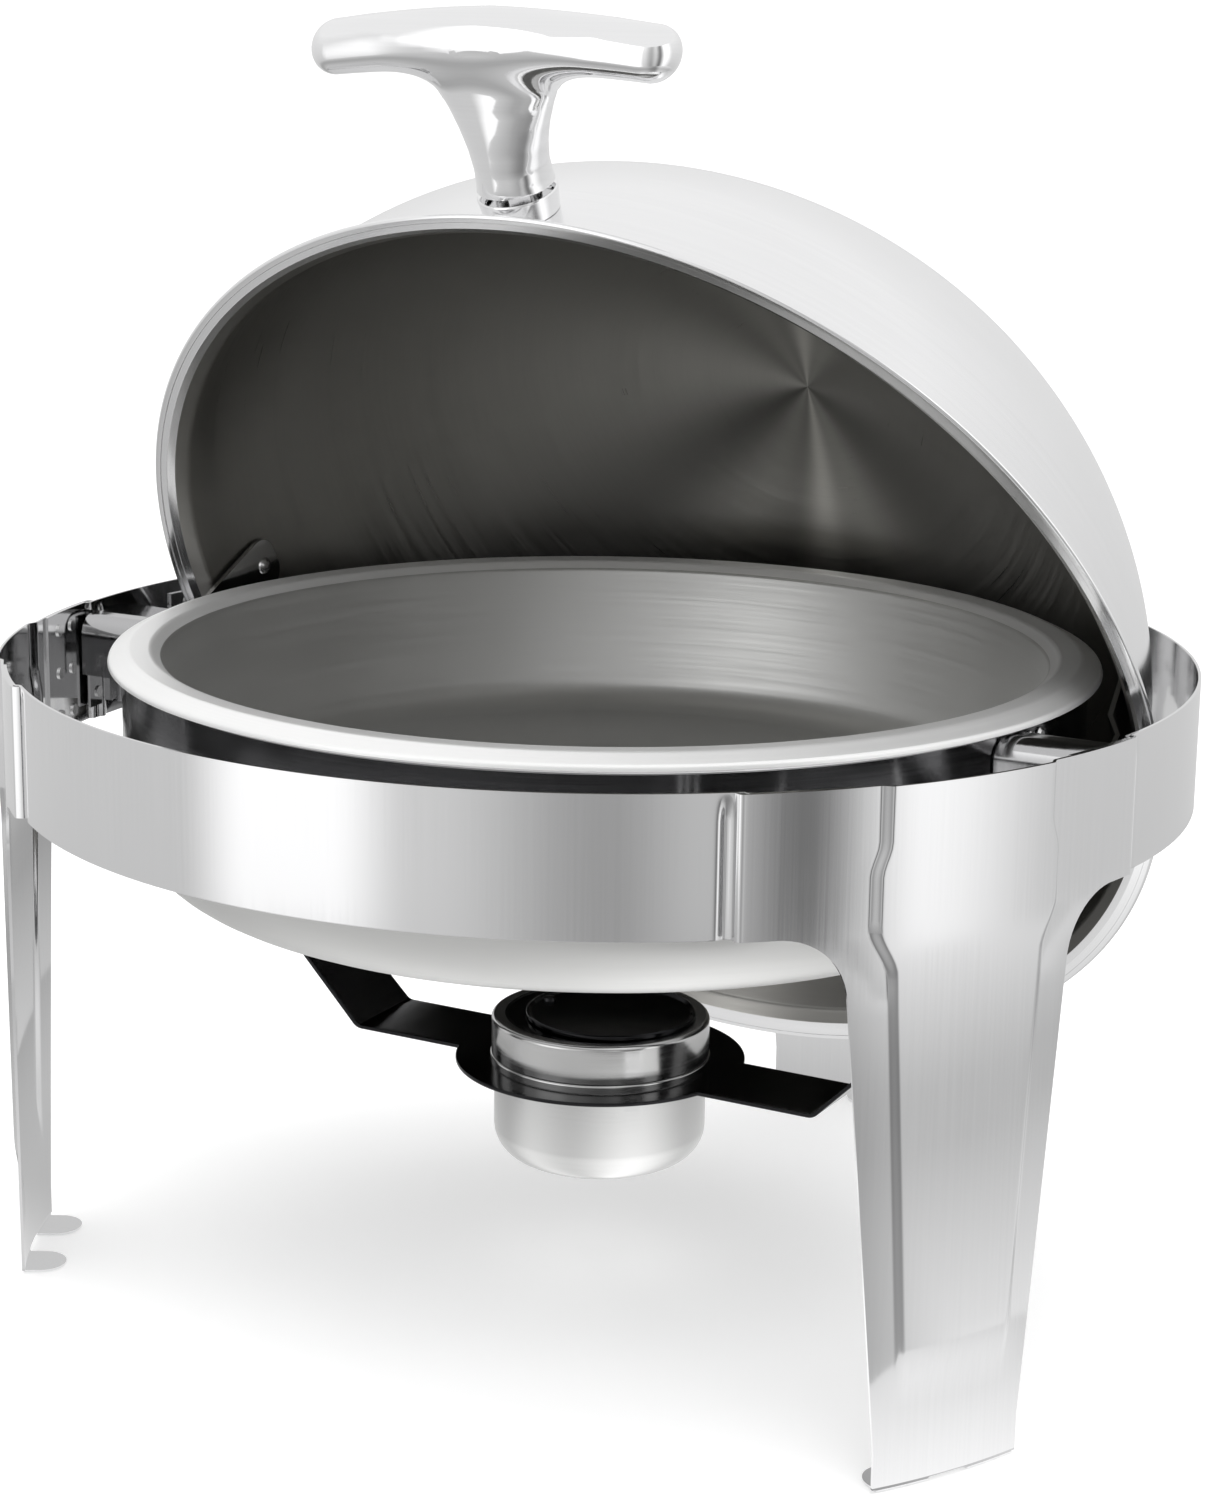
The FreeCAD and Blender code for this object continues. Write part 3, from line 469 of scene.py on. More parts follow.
def make_band(name, start_leg, end_leg):
    """Band whose ends step outwards just inside each leg's edge and lap behind the leg."""
    start = start_leg + LEG_HALF - SEAM
    end = end_leg - LEG_HALF + SEAM
    near = list(np.linspace(-LAP, -0.6, 14)) + list(np.linspace(-0.5, 0.3, 9))
    near += list(np.linspace(0.4, 2.8, 21))
    angles = [start + step for step in near]
    angles += list(np.linspace(start + 3.4, end - 3.4, max(24, int((end - start) / 0.9))))
    angles += [end - step for step in near[::-1]]
    heights = [BAND_LOW, BAND_LOW + 0.4] + [RING_TOP - drop for drop in EDGE_DROPS]
    verts, faces = grid([[band_point(z, angle, start, end) for angle in angles] for z in heights])
    return piece(name, verts, faces, [polished], "frame", name, bevel=0.35,
                 solid=STEEL, sharp=40)


# ---------------------------------------------------------------- pressed legs
# The round shoulder between band and leg: centre across and up, and radius.
SHOULDER_CENTRE = (75.71, 191.0)
SHOULDER_ROUND = 26.0
SHOULDER_LOW = 193.39
SHOULDER_ANGLE = 17.76
LEG_FOOT_HALF = 32.0
LEG_WIDE_HALF = 52.0
# Half width of the rib: a straight taper up from the foot to the neck, a step out to the wide part,
# and a smaller step in below the top.
RIB_FOOT_HALF, RIB_FOOT_Z = 23.5, 30.0
RIB_NECK_HALF, RIB_NECK_Z = 33.5, 200.0
RIB_WIDE_HALF, RIB_WIDE_Z = 40.8, 219.0
RIB_TOP_HALF, RIB_TOP_Z = 37.5, 250.0
RIB_SHRINK_Z = 237.0
# Foot: the tabs' middles across, half width, bend radius, and the centre of their rounded ends.
TAB_MIDDLE = 20.5
TAB_HALF = 10.5
TAB_BEND = 1.8
TAB_CENTRE = 239.8
FOOT_TOP = 16.0


def leg_half_width(z):
    if z >= BAND_LOW:
        return SHOULDER_CENTRE[0]
    if z > SHOULDER_LOW:
        across = SHOULDER_ROUND ** 2 - (z - SHOULDER_CENTRE[1]) ** 2
        return SHOULDER_CENTRE[0] - math.sqrt(max(0.0, across))
    return LEG_FOOT_HALF + (LEG_WIDE_HALF - LEG_FOOT_HALF) * z / BAND_LOW


def rib_half_width(z):
    taper = between(z, [(RIB_FOOT_Z, RIB_FOOT_HALF), (RIB_NECK_Z, RIB_NECK_HALF)])
    step_out = ease((z - RIB_NECK_Z) / (RIB_WIDE_Z - RIB_NECK_Z))
    step_in = ease((z - RIB_SHRINK_Z) / (RIB_TOP_Z - RIB_SHRINK_Z))
    return taper + (RIB_WIDE_HALF - RIB_NECK_HALF) * step_out - (RIB_WIDE_HALF - RIB_TOP_HALF) * step_in


def rib_height(y, z):
    """How far the pressed panel stands out at sideways place y and height z."""
    half = rib_half_width(z)
    width = between(z, [(0, 5.0), (60, 3.6), (240, 3.6), (270, 4.0)])
    rise = ease((half + width / 2 - abs(y)) / width)
    edge = min(leg_half_width(z), LEG_WIDE_HALF)
    flank = max(0.0, min(1.0, (edge - abs(y)) / (edge - half)))
    share = 0.4 * between(z, [(190, 1.0), (215, 0.0)])
    return RIB_PROUD * (share * flank + (1 - share) * rise) * ease((z - 34.0) / 26.0)


def leg_point(y, z, lift=None, radius=LEG_OUTER):
    """Point of the leg's outer face, in the leg's own frame, where +X is outwards."""
    out = radius + (rib_height(y, z) if lift is None else lift)
    angle = math.asin(max(-1.0, min(1.0, y / out)))
    return (out * math.cos(angle), out * math.sin(angle), z)


def leg_columns(z):
    """Sideways places across the leg's middle, closer together where the rib bends."""
    edge = leg_half_width(z)
    half = min(rib_half_width(z), edge - 5.0)
    near, far = 2.6, 3.4
    places = list(np.linspace(-edge, -half - far, 9)) + list(np.linspace(-half - near, -half + near, 11))
    places += list(np.linspace(-half + far, half - far, 25))
    places += list(np.linspace(half - near, half + near, 11)) + list(np.linspace(half + far, edge, 9))
    return places


def foot_edge(y):
    """Height of the leg's lower edge: a shallow relief between the two tabs."""
    return 2.2 * ease((9.6 - abs(y)) / 1.2)


def panel_rows():
    """The leg's middle, from the ring's top to just above the foot."""
    heights = list(np.linspace(RING_TOP, BAND_LOW, 22))
    heights += [SHOULDER_CENTRE[1] + SHOULDER_ROUND * math.sin(math.radians(a))
                for a in (86, 80, 73, 66, 58, 50, 42, 34, 26, 18, 10)]
    heights += list(np.linspace(192.5, 40.0, 44)) + list(np.linspace(36.0, FOOT_TOP, 7))
    return [[leg_point(y, z) for y in leg_columns(z)] for z in heights]


def foot_rows():
    """The foot, with its relief between the tabs."""
    outer = [round(y, 4) for y in leg_columns(FOOT_TOP) if abs(y) > 10.2]
    middle = [round(y, 4) for y in np.linspace(-10.0, 10.0, 41)]
    places = sorted(set(outer + middle))
    steps = 10
    return [[leg_point(y, FOOT_TOP + (max(TAB_BEND, foot_edge(y)) - FOOT_TOP) * k / steps, lift=0.0)
             for y in places] for k in range(steps + 1)]


def wing_rows(side):
    """The part of the leg beside its shoulder, over the band, with a rolled edge."""
    rolled = 0.62
    angles = [SHOULDER_ANGLE + (LEG_HALF - SHOULDER_ANGLE) * t for t in np.linspace(0, 1, 15)]
    rows = []
    for z in np.linspace(RING_TOP, BAND_LOW, 22):
        row = []
        for angle in angles:
            past = max(0.0, angle - (LEG_HALF - rolled)) / rolled
            drop = 3.0 * (1 - math.sqrt(max(0.0, 1 - past * past)))
            row.append(polar(LEG_OUTER - drop, angle * side, z))
        rows.append(row)
    return rows


def tab_rows(side):
    """A foot tab, bent inwards off the leg's lower edge and rounded at its end."""
    middle = TAB_MIDDLE * side
    across = np.linspace(-1, 1, 15)
    rows = []
    for a in range(0, 91, 15):
        angle = math.radians(a)
        out = LEG_OUTER - TAB_BEND * (1 - math.cos(angle))
        z = TAB_BEND * (1 - math.sin(angle))
        half = 11.4 - 0.9 * a / 90
        places = [middle + u * half for u in across]
        rows.append([(math.sqrt(out ** 2 - y ** 2), y, z) for y in places])
    for a in np.linspace(0, 86, 12):
        x = TAB_CENTRE - TAB_HALF * math.sin(math.radians(a))
        half = TAB_HALF * math.cos(math.radians(a))
        rows.append([(x, middle + u * half, 0.0) for u in across])
    return rows


def leg_mesh():
    parts = [panel_rows(), foot_rows()]
    for side in (-1, 1):
        parts += [wing_rows(side), tab_rows(side)]
    return merge(*(grid(rows) for rows in parts))


LEG_VERTS, LEG_FACES = leg_mesh()


def make_leg(name, angle):
    matrix = turn(angle, "Z")
    verts = [tuple(matrix @ Vector(v)) for v in LEG_VERTS]
    return piece(name, verts, LEG_FACES, [polished], "frame", name, bevel=0.3,
                 solid=STEEL, sharp=50)


# ---------------------------------------------------------------- lid
DOME_SHEET = 0.9
FLARE_STEPS = 6
# Points at the end of the flare that have the inside finish.
FLARE_INSIDE = 14


def dome_arc(inset):
    """Outline of the dome from its top down to the flare, that far inside the outer face."""
    side, rise = DOME_SIDE - inset, DOME_RISE - inset
    angles = [math.radians(a) for a in np.linspace(90, 4.5, 60)]
    points = [(side * math.cos(angle), RIM_Z + rise * math.sin(angle)) for angle in angles]
    points[0] = (0.0, RIM_Z + rise)
    return points


def make_dome():
    """Thin dome with a soft flare into a flat hemmed rim."""
    outside, inside = dome_arc(0.0), dome_arc(DOME_SHEET)
    side, rim = DOME_SIDE, RIM_Z
    flare = rounded([
        outside[-2], (side + 0.5, rim + 8.0, 6.0), (side + 3.6, rim + 3.6, 4.0),
        (side + 7.0, rim + 2.5, 2.0), (RIM_RADIUS, rim + 2.5, 1.2), (RIM_RADIUS, rim, 1.2),
        (229.5, rim, 0.2), (229.3, rim + 0.35, 0.15), (226.4, rim + 0.35, 0.4), (223.4, rim + 2.6, 3.0),
        (side - 0.6, rim + 7.4, 5.0), inside[-2]], FLARE_STEPS)
    profile = outside[:-1] + flare[1:-1] + inside[::-1][1:]
    split = len(outside) + len(flare) - 2 - FLARE_INSIDE
    verts, faces, owner = lathe(profile, 288)
    face_slots = [1 if p >= split else 0 for p in owner]
    return piece("dome_shell", verts, faces, [dome_outside, dome_inside], "lid",
                 "lid_dome", matrix=LID, sharp=40, face_slots=face_slots)


# ---------------------------------------------------------------- grip
# Half width and half depth of the grip's neck, by height in millimetres.
NECK_TABLE = [(9, 16.0, 15.0), (14, 15.2, 14.6), (20, 15.0, 13.9), (28, 16.4, 13.3), (36, 19.0, 12.8),
              (44, 22.5, 12.2), (52, 27.5, 11.8), (60, 33.5, 11.4), (70, 39.0, 11.2)]


# The grip's rounded ends, its half thickness across, how far its ends droop and its neck leans
# back, and how widely bar and neck blend.
GRIP_END = 10.5
GRIP_DEEP = 12.1
GRIP_DROOP = 4.2
NECK_LEAN = 4.5
GRIP_BLEND = 8.0
# The rough start form: points round it, rows along the bar and up the neck, and the bar's radius.
START_STEPS = 48
BAR_ROWS = 90
NECK_ROWS = 40
BAR_RADIUS = 10.0


def grip_field(points):
    """Signed size of the grip's smooth form: negative inside. Points are (n, 3) in millimetres."""
    x, y, z = points[:, 0], points[:, 1], points[:, 2]
    straight = GRIP_HALF - GRIP_END
    along = np.clip(np.abs(x) / straight, 0, 1)
    lean = NECK_LEAN * np.clip((z - GRIP_BASE) / (GRIP_REACH - GRIP_BASE), 0, 1) ** 1.5
    end = np.clip(np.abs(x) - straight, 0, None)
    tall = GRIP_DEEP - 2.0 * along
    bar = 11 * np.sqrt((end / GRIP_END) ** 2 + ((y - lean) / GRIP_DEEP) ** 2
                       + ((z - GRIP_REACH + GRIP_DROOP * along ** 2) / tall) ** 2) - 11
    heights, wide, deep = zip(*NECK_TABLE)
    neck = 13 * np.sqrt((x / np.interp(z, heights, wide)) ** 2
                        + ((y - lean) / np.interp(z, heights, deep)) ** 2) - 13
    neck = np.maximum(neck, z - GRIP_REACH)
    mixed = np.clip(0.5 + 0.5 * (neck - bar) / GRIP_BLEND, 0, 1)
    return neck * (1 - mixed) + bar * mixed - GRIP_BLEND * mixed * (1 - mixed)


def grip_start():
    """Rough closed bar and neck, near enough to the smooth form to be moved onto it."""
    angles = [2 * math.pi * i / START_STEPS for i in range(START_STEPS + 1)]
    bar_rows = []
    for x in np.linspace(-77.9, 77.9, BAR_ROWS):
        past = max(0.0, abs(x) - 68)
        r = math.sqrt(max(0.3, BAR_RADIUS ** 2 - past ** 2))
        bar_rows.append([(x, 4.0 + r * math.cos(a), GRIP_REACH - 2 + r * math.sin(a)) for a in angles])
    neck_rows = [[(13 * math.cos(a), 12 * math.sin(a), z) for a in angles]
                 for z in np.linspace(GRIP_BASE, GRIP_REACH, NECK_ROWS)]
    verts, faces = merge(grid(bar_rows), grid(neck_rows))
    for row in (0, BAR_ROWS - 1, BAR_ROWS, BAR_ROWS + NECK_ROWS - 1):
        faces.append([row * (START_STEPS + 1) + i for i in range(START_STEPS)])
    mesh = bpy.data.meshes.new("grip_start")
    mesh.from_pydata([Vector(v) * MM for v in verts], [], faces)
    shape = bmesh.new()
    shape.from_mesh(mesh)
    bmesh.ops.remove_doubles(shape, verts=shape.verts, dist=1e-6)
    bmesh.ops.recalc_face_normals(shape, faces=shape.faces)
    shape.to_mesh(mesh)
    shape.free()
    return mesh


def even_mesh(mesh, size):
    """The mesh rebuilt with even faces of that size in millimetres."""
    holder = bpy.data.objects.new("grip_start", mesh)
    bpy.context.scene.collection.objects.link(holder)
    remesh = holder.modifiers.new("remesh", "REMESH")
    remesh.mode = "VOXEL"
    remesh.voxel_size = size * MM
    bpy.context.view_layer.update()
    graph = bpy.context.evaluated_depsgraph_get()
    even = bpy.data.meshes.new_from_object(holder.evaluated_get(graph))
    bpy.data.objects.remove(holder)
    return even


def onto_field(co):
    """Points moved one step along the slope of the grip's field, towards its zero."""
    tiny = 0.01
    value = grip_field(co)
    slope = np.stack([(grip_field(co + tiny * axis) - value) / tiny for axis in np.eye(3)], axis=1)
    size = np.clip((slope ** 2).sum(1), 0.05, None)
    return co - slope * np.clip(value / size, -2, 2)[:, None]


def settle_on_form(mesh):
    """Smooth the mesh and move it onto the grip's form, never below the collar."""
    count = len(mesh.vertices)
    co = np.empty(count * 3)
    mesh.vertices.foreach_get("co", co)
    co = co.reshape(-1, 3) / MM
    edges = np.empty(len(mesh.edges) * 2, dtype=np.int64)
    mesh.edges.foreach_get("vertices", edges)
    edges = edges.reshape(-1, 2)
    degree = np.bincount(edges.ravel(), minlength=count)[:, None]
    rounds, smooth_rounds = 60, 50
    for step in range(rounds):
        if step < smooth_rounds:
            total = np.zeros_like(co)
            np.add.at(total, edges[:, 0], co[edges[:, 1]])
            np.add.at(total, edges[:, 1], co[edges[:, 0]])
            co = co * 0.5 + 0.5 * total / degree
        co = onto_field(onto_field(co))
        co[:, 2] = np.maximum(co[:, 2], GRIP_BASE)
    mesh.vertices.foreach_set("co", (co * MM).ravel())


def make_grip():
    """Cast T grip: an even start mesh moved onto the smooth form."""
    mesh = even_mesh(grip_start(), 1.5)
    settle_on_form(mesh)
    mesh.transform(HANDLE)
    obj = bpy.data.objects.new("grip_cast", mesh)
    bpy.context.scene.collection.objects.link(obj)
    mesh.shade_smooth()
    mesh.set_sharp_from_angle(angle=math.radians(60))
    mesh.materials.clear()
    mesh.materials.append(cast_bright)
    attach(obj, "lid")
    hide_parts("handle_grip")
    return obj


def make_collar():
    spin("grip_collar", [(0, 0.4), (13.6, 0.4), (13.9, -0.35, 0.1), (15.0, -0.4, 0.3), (16.0, 8.3, 0.5),
                         (15.5, 9.0, 0.3), (0, 9.0)],
         [cast_bright], "lid", "handle_collar", HANDLE, 96)


# ---------------------------------------------------------------- pans
def make_water_pan():
    r, bead = 200.0, 203.0

    def finish_of(a, b):
        """2 for the outer wall under the bead, which has painted shade for the dark gap behind the band, 1
        for the inside, 0 for the rest.
        """
        if a[0] >= r - 0.01 and b[0] >= r - 0.01 and max(a[1], b[1]) < 265.7:
            return 2
        inside = a[0] <= r - 0.85 and b[0] <= r - 0.85 and (a[1] > 173.5 or b[1] > 173.5)
        return 1 if inside and not (a[0] < r - 41 and a[1] < 173.2) else 0

    spin("water_pan_shell", [
        (0, 173.0), (r, 173.0, 40.0), (r, 265.6, 0.4), (r + 0.8, 266.2, 0.6), (bead, 266.4, 1.4),
        (bead, 269.2, 1.4), (r - 0.9, 269.2, 0.6), (r - 0.9, 173.9, 39.1), (0, 173.9)],
        [pan_bright, pan_inside, pan_wall_painted_shade], "water_pan_body", "water_pan",
        steps=256, arcs=14, finish_of=finish_of)


def make_food_pan():
    top, rim = 273.6, 205.7
    spin("food_pan_shell", [
        (0, 207.0), (164.0, 207.0, 18.9), (184.6, 268.6, 2.0), (188.6, 272.1, 3.0), (197.0, 272.7, 4.0),
        (204.2, 269.3, 2.0), (204.8, 267.8, 0.2), (rim, 267.8, 0.3), (205.1, 270.0, 2.6), (197.2, top, 5.0),
        (188.0, 273.0, 4.0), (183.6, 269.6, 3.0), (163.0, 207.9, 18.0), (0, 207.9)],
        [pan_satin, pan_inside], "food_pan_body", "food_pan", steps=256, arcs=10,
        finish_of=lambda a, b: a[0] <= 184.2 and b[0] <= 184.2 and a[1] >= 207.85 and b[1] >= 207.85)


# ---------------------------------------------------------------- fuel holder
STRAP_HALF = 21.5
STRAP_END_HALF = 16.0
STRAP_DISC = 62.3
STRAP_HOLE = 46.3
STRAP_STEEL = 1.6
STRAP_TOP = 88.0 + STRAP_STEEL
STRAP_BEND = 109.0
STRAP_END = 243.2 - STRAP_STEEL


def disc_rows(angles, side=1):
    """Rows of the strap's round middle, from the hole out to the disc's edge."""
    rows = []
    for r in np.linspace(STRAP_HOLE, STRAP_DISC, 5):
        points = [polar(r, a, STRAP_TOP) for a in angles]
        rows.append([(side * x, y, z) for x, y, z in points])
    return rows


def strap_bends():
    """Side view of an arm as (x, z) points: flat, bent up to 45 degrees, then upright on the band."""
    first, second = 6.0, 3.0
    points = [(STRAP_BEND, STRAP_TOP)]
    for a in (11.25, 22.5, 33.75, 45):
        angle = math.radians(a)
        points.append((STRAP_BEND + first * math.sin(angle), STRAP_TOP + first * (1 - math.cos(angle))))
    x, z = points[-1]
    slope_end = STRAP_END - second
    low = z + slope_end - x
    points.append((slope_end, low))
    points += [(slope_end + second * math.sin(math.radians(a)), low + 4.0 * a / 45) for a in (15, 30, 45)]
    points.append((STRAP_END, low + 23.0))
    return points


def make_fuel_bracket():
    """Strap with a round middle, cut through by the hole, bent up at both ends."""
    meet = math.degrees(math.asin(STRAP_HALF / STRAP_DISC))
    parts = [disc_rows(np.linspace(start, start + 180 - 2 * meet, 49)) for start in (meet, 180 + meet)]
    for side in (-1, 1):
        rows = disc_rows(np.linspace(-meet, meet, 15), side)
        for x, z in strap_bends():
            half = between(x, [(232.0, STRAP_HALF), (240.0, STRAP_END_HALF)])
            rows.append([(side * x, y, z) for y in np.linspace(-half, half, 15)])
        parts.append(rows)
    verts, faces = merge(*(grid(rows) for rows in parts))
    # The strap is finished in the painted dark reflection.
    return piece("fuel_strap", verts, faces, [dark_painted_reflection], "frame", "fuel_bracket",
                 bevel=0.3, solid=STRAP_STEEL, sharp=40)


def make_fuel_cup():
    spin("fuel_cup_shell", [
        (0, 47.0), (45.6, 47.0, 14.0), (45.6, 89.9, 0.3), (47.4, 89.9, 1.2), (47.4, 93.3, 1.2),
        (45.6, 93.3, 0.3), (45.6, 104.0, 0.3), (44.8, 104.0, 0.3), (44.8, 47.8, 13.2), (0, 47.8)],
        [cup_steel], "fuel_holder", "fuel_cup", steps=160, arcs=8)


def make_fuel_cap():
    # The cap's flat top gets the painted dark reflection.
    spin("fuel_cap_shell", [
        (46.1, 93.6), (46.9, 93.6, 0.2), (46.9, 106.0), (46.9, 110.0, 3.0), (41.0, 110.0),
        (39.5, 109.75, 0.8), (21.5, 109.75), (21.0, 109.75, 0.1), (21.0, 109.2, 0.1), (40.0, 109.2),
        (46.1, 109.2, 2.2)],
        [cup_steel, dark_painted_reflection], "fuel_cap_body", "fuel_cap", steps=160, arcs=8,
        finish_of=lambda a, b: a[1] > 109.0 and b[1] > 109.0 and max(a[0], b[0]) < 41.5)


def make_damper():
    low, pivot_x, r = 110.3, 5.0, 36.5
    verts, faces, _ = lathe(rounded([
        (0, low), (r, low, 0.3), (r, low + 1.6, 0.5), (r - 1.2, low + 2.1, 0.5), (r - 2.6, low + 0.85, 0.6),
        (0, low + 0.8)], 5), 128)
    verts = [(x + pivot_x, y, z) for x, y, z in verts]
    # The damper disc is finished in the painted dark reflection.
    piece("flame_disc", verts, faces, [dark_painted_reflection], "damper", "flame_damper")


# ---------------------------------------------------------------- carried-over nodes
NODE_FINISH = {
    "lap_weld_spots": spot_steel, "hinge_weld_spots": spot_steel, "lid_lug_rivets": fastener,
    # The damper rivet takes the painted dark reflection.
    "water_pan_studs": fastener, "damper_rivet": dark_painted_reflection, "handle_screws": fastener,
    "handle_washers": fastener, "hinge_washers_left": nylon, "hinge_washers_right": nylon,
    "hinge_bolt_left": fastener, "hinge_bolt_right": fastener, "hinge_nut_left": fastener,
    "hinge_nut_right": fastener, "hinge_housing_left": pressed_steel,
    "hinge_housing_right": pressed_steel, "lid_lug_left": polished, "lid_lug_right": polished,
    "pan_shelf_left": pressed_steel, "pan_shelf_right": pressed_steel,
}


def finish_nodes():
    for name, material in NODE_FINISH.items():
        node = nodes[name]
        node.data.materials.clear()
        node.data.materials.append(material)


# ---------------------------------------------------------------- studio
# Soft panels round the object, as brightness by direction in degrees from the front towards the
# right: plain grey, a bright panel left of the front, a dark one and a bright one on the right.
WALL = [(-180, 0.7), (-45, 0.7), (-30, 1.3), (-15, 1.3), (0, 0.75), (30, 0.4), (45, 0.6), (60, 0.2),
        (80, 1.2), (110, 0.7), (180, 0.7)]
# The same for the floor near the chafer, which the legs, the pans and the cup mirror.
CARPET = [(-180, 0.4), (0, 0.45), (50, 0.25), (75, 0.6), (180, 0.4)]
# And for the part of it right under the chafer, which the cup and the ends of the legs mirror.
MAT = [(-180, 0.4), (-80, 0.35), (-40, 0.55), (0, 0.45), (60, 0.75), (130, 0.4), (180, 0.4)]


WALL_RADIUS = 0.9
# Radius in metres where the glow near the floor is weakest.
DIM_RADIUS = 0.62


def direction_ramp(tree, x, y, table):
    """Grey by direction round the Z axis, from a table of (degrees from the front, value)."""
    angle = math_node(tree, "ARCTAN2", x, math_node(tree, "MULTIPLY", y, -1.0))
    place = math_node(tree, "ADD", math_node(tree, "DIVIDE", angle, 2 * math.pi), 0.5)
    ramp = add(tree, "ShaderNodeValToRGB")
    ramp.color_ramp.interpolation = "EASE"
    stops = ramp.color_ramp.elements
    stops.remove(stops[-1])
    for index, (degrees, value) in enumerate(table):
        stop = stops[0] if index == 0 else stops.new((degrees + 180) / 360)
        stop.position = (degrees + 180) / 360
        stop.color = (value / 2, value / 2, value / 2, 1)
    link(tree, place, ramp.inputs["Fac"])
    return ramp.outputs["Color"]


def make_glow(name, table, levels, strengths):
    """Round soft-lit surface that only glossy surfaces see, brighter and darker by direction.

    levels are (radius, z) pairs of its profile, strengths (coordinate, from, to, low, high)."""
    steps = 120
    turns = [2 * math.pi * i / steps for i in range(steps + 1)]
    verts, faces = grid([[(radius * math.sin(a), -radius * math.cos(a), z) for a in turns]
                         for radius, z in levels])
    mesh = bpy.data.meshes.new(name)
    mesh.from_pydata(verts, [], faces)
    material, tree, shader = new_material(name)
    tree.nodes.remove(shader)
    x, y, height = split_vector(tree, add(tree, "ShaderNodeTexCoord").outputs["Object"])
    kind, start, end, first, last = strengths
    fade = add(tree, "ShaderNodeMapRange", inputs={
        "From Min": start, "From Max": end, "To Min": first, "To Max": last})
    measure = height
    if kind == "radius":
        off = math_node(tree, "SUBTRACT", flat_distance(tree, x, y), DIM_RADIUS)
        measure = math_node(tree, "ABSOLUTE", off)
    link(tree, measure, fade.inputs["Value"])
    glow = add(tree, "ShaderNodeEmission")
    link(tree, direction_ramp(tree, x, y, table), glow.inputs["Color"])
    link(tree, fade.outputs[0], glow.inputs["Strength"])
    link(tree, glow.outputs[0], tree.nodes["Material Output"].inputs["Surface"])
    mesh.materials.append(material)
    obj = bpy.data.objects.new(name, mesh)
    bpy.context.scene.collection.objects.link(obj)
    for ray in ("camera", "diffuse", "shadow", "transmission"):
        setattr(obj, f"visible_{ray}", False)


def make_world():
    world = bpy.data.worlds.new("studio")
    bpy.context.scene.world = world
    world.use_nodes = True
    background = world.node_tree.nodes["Background"]
    background.inputs["Color"].default_value = (1.0, 1.0, 1.0, 1.0)
    background.inputs["Strength"].default_value = 0.97


def make_floor():
    reach = 500.0
    mesh = bpy.data.meshes.new("studio_floor")
    mesh.from_pydata([(-reach, -reach, 0), (reach, -reach, 0), (reach, reach, 0), (-reach, reach, 0)],
                     [], [(0, 1, 2, 3)])
    material, tree, shader = new_material("floor")
    noise = add(tree, "ShaderNodeTexNoise", inputs={"Scale": 3.0, "Detail": 3.0})
    link(tree, add(tree, "ShaderNodeTexCoord").outputs["Object"], noise.inputs["Vector"])
    colour = add(tree, "ShaderNodeMix", data_type="RGBA")
    colour.inputs["A"].default_value = (0.9, 0.9, 0.9, 1)
    colour.inputs["B"].default_value = (0.93, 0.93, 0.93, 1)
    link(tree, noise.outputs[0], colour.inputs["Factor"])
    link(tree, colour.outputs["Result"], shader.inputs["Base Color"])
    shader.inputs["Roughness"].default_value = 0.9
    shader.inputs["Emission Color"].default_value = (1.0, 1.0, 1.0, 1.0)
    shader.inputs["Emission Strength"].default_value = 0.3
    mesh.materials.append(material)
    floor = bpy.data.objects.new("studio_floor", mesh)
    bpy.context.scene.collection.objects.link(floor)


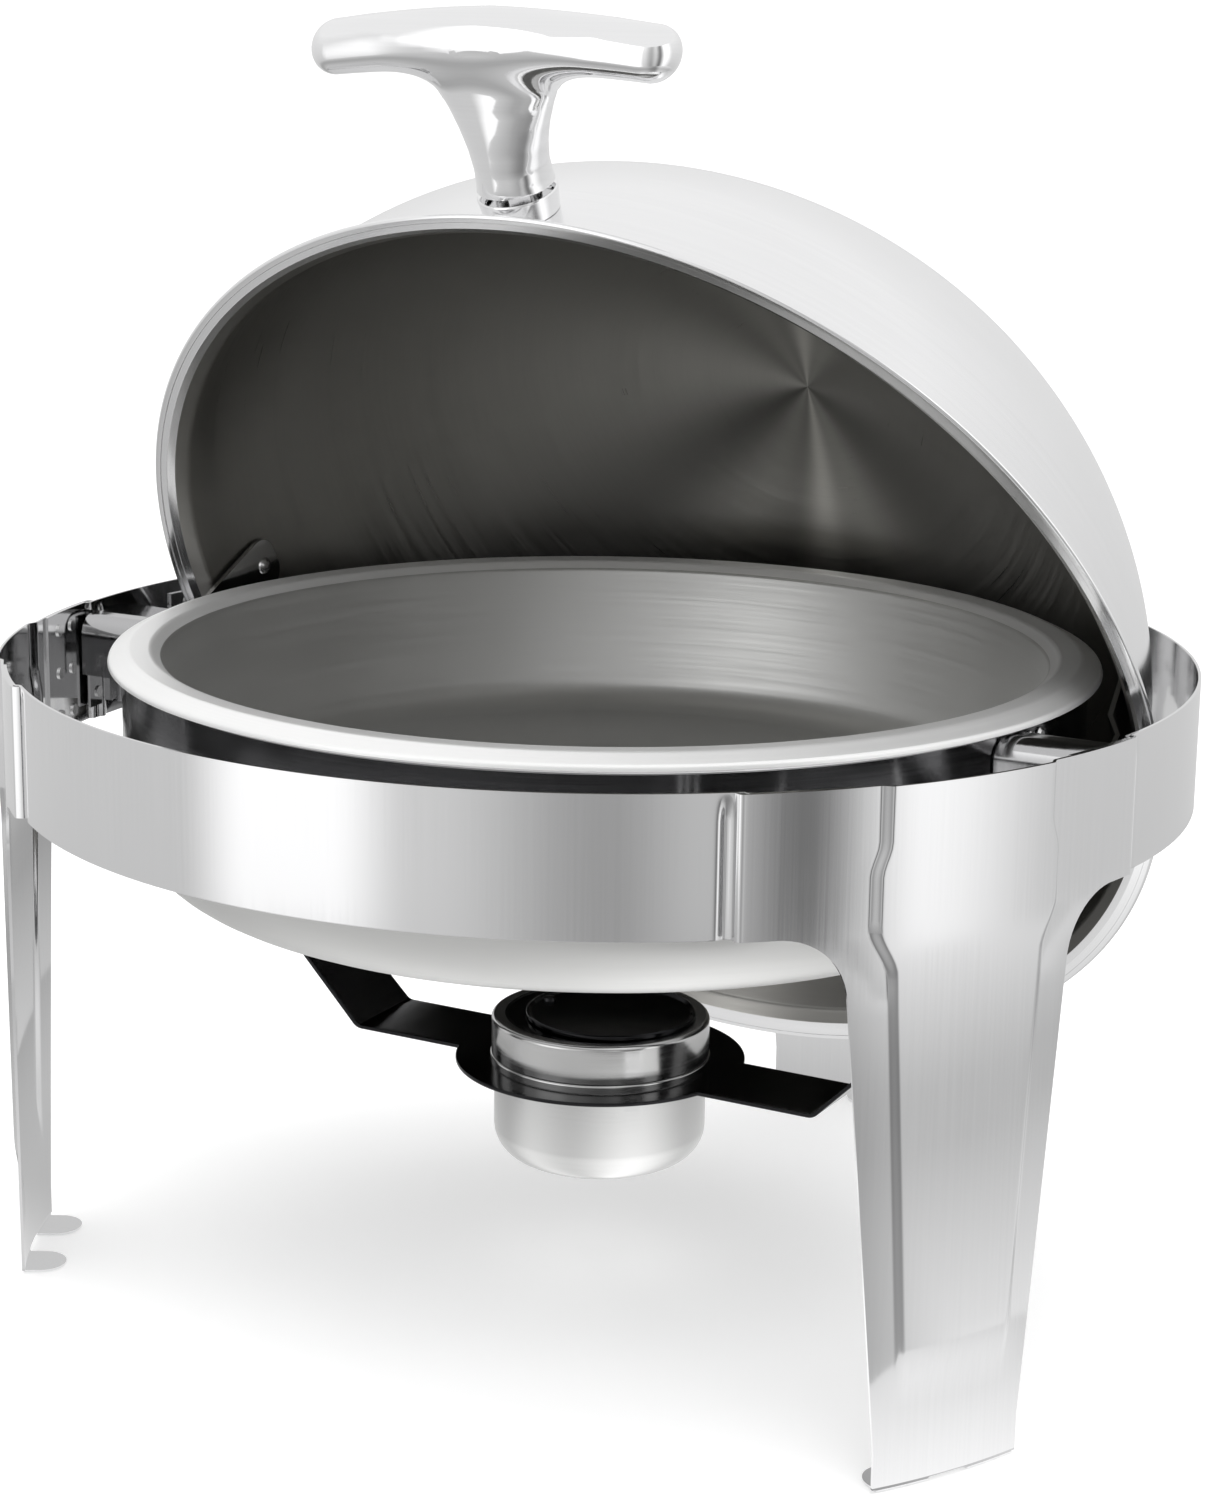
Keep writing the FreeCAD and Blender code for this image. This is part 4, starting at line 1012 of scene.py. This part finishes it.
def make_light(name, place, size, power):
    """Round soft light that looks at the middle of the chafer and isn't mirrored in it."""
    data = bpy.data.lights.new(name, "AREA")
    data.shape = "DISK"
    data.size = size
    data.energy = power
    light = bpy.data.objects.new(name, data)
    light.location = place
    light.rotation_euler = (Vector((0, 0, 0.25)) - Vector(place)).to_track_quat("-Z", "Y").to_euler()
    light.visible_glossy = False
    bpy.context.scene.collection.objects.link(light)


def make_studio():
    bpy.context.scene.view_settings.view_transform = "Standard"
    make_world()
    make_floor()
    make_glow("studio_wall", WALL, [(WALL_RADIUS, 0.0), (WALL_RADIUS, 1.15)],
              ("height", 0.0, 1.15, 1.9, 2.8))
    make_glow("studio_carpet", CARPET, [(0.01, 0.0015), (WALL_RADIUS, 0.0015)],
              ("radius", 0.04, 0.28, 2.0, 3.1))
    make_glow("studio_mat", MAT, [(0.01, 0.0025), (0.33, 0.0025)], ("radius", 0.29, 0.5, 2.4, 4.2))
    make_light("key", (0.9, -1.0, 1.9), 1.2, 9.0)
    make_light("top", (-0.4, 0.4, 2.4), 2.2, 9.0)


def make_camera():
    """Camera to the right of the front, looking down."""
    azimuth, away, above = math.radians(28.98), 1.2861, 0.2688
    data = bpy.data.cameras.new("camera")
    data.sensor_fit = "VERTICAL"
    data.sensor_height = 36.0
    data.lens = 75.46
    camera = bpy.data.objects.new("camera", data)
    pitch, roll = math.radians(13.67), math.radians(0.72)
    place = Vector((math.sin(azimuth) * away, -math.cos(azimuth) * away, RING_TOP * MM + above))
    camera.matrix_world = (Matrix.Translation(place) @ Matrix.Rotation(azimuth, 4, "Z")
                           @ Matrix.Rotation(math.pi / 2 - pitch, 4, "X") @ Matrix.Rotation(roll, 4, "Z"))
    bpy.context.scene.collection.objects.link(camera)
    bpy.context.scene.camera = camera


make_band("front_band", LEFT_LEG - 360, RIGHT_LEG)
make_band("right_rear_band", RIGHT_LEG, REAR_LEG)
make_band("left_rear_band", REAR_LEG, LEFT_LEG)
make_leg("leg_front_right", RIGHT_LEG)
make_leg("leg_rear", REAR_LEG)
make_leg("leg_front_left", LEFT_LEG)
make_dome()
make_grip()
make_collar()
make_water_pan()
make_food_pan()
make_fuel_bracket()
make_fuel_cup()
make_fuel_cap()
make_damper()
finish_nodes()
make_studio()
make_camera()
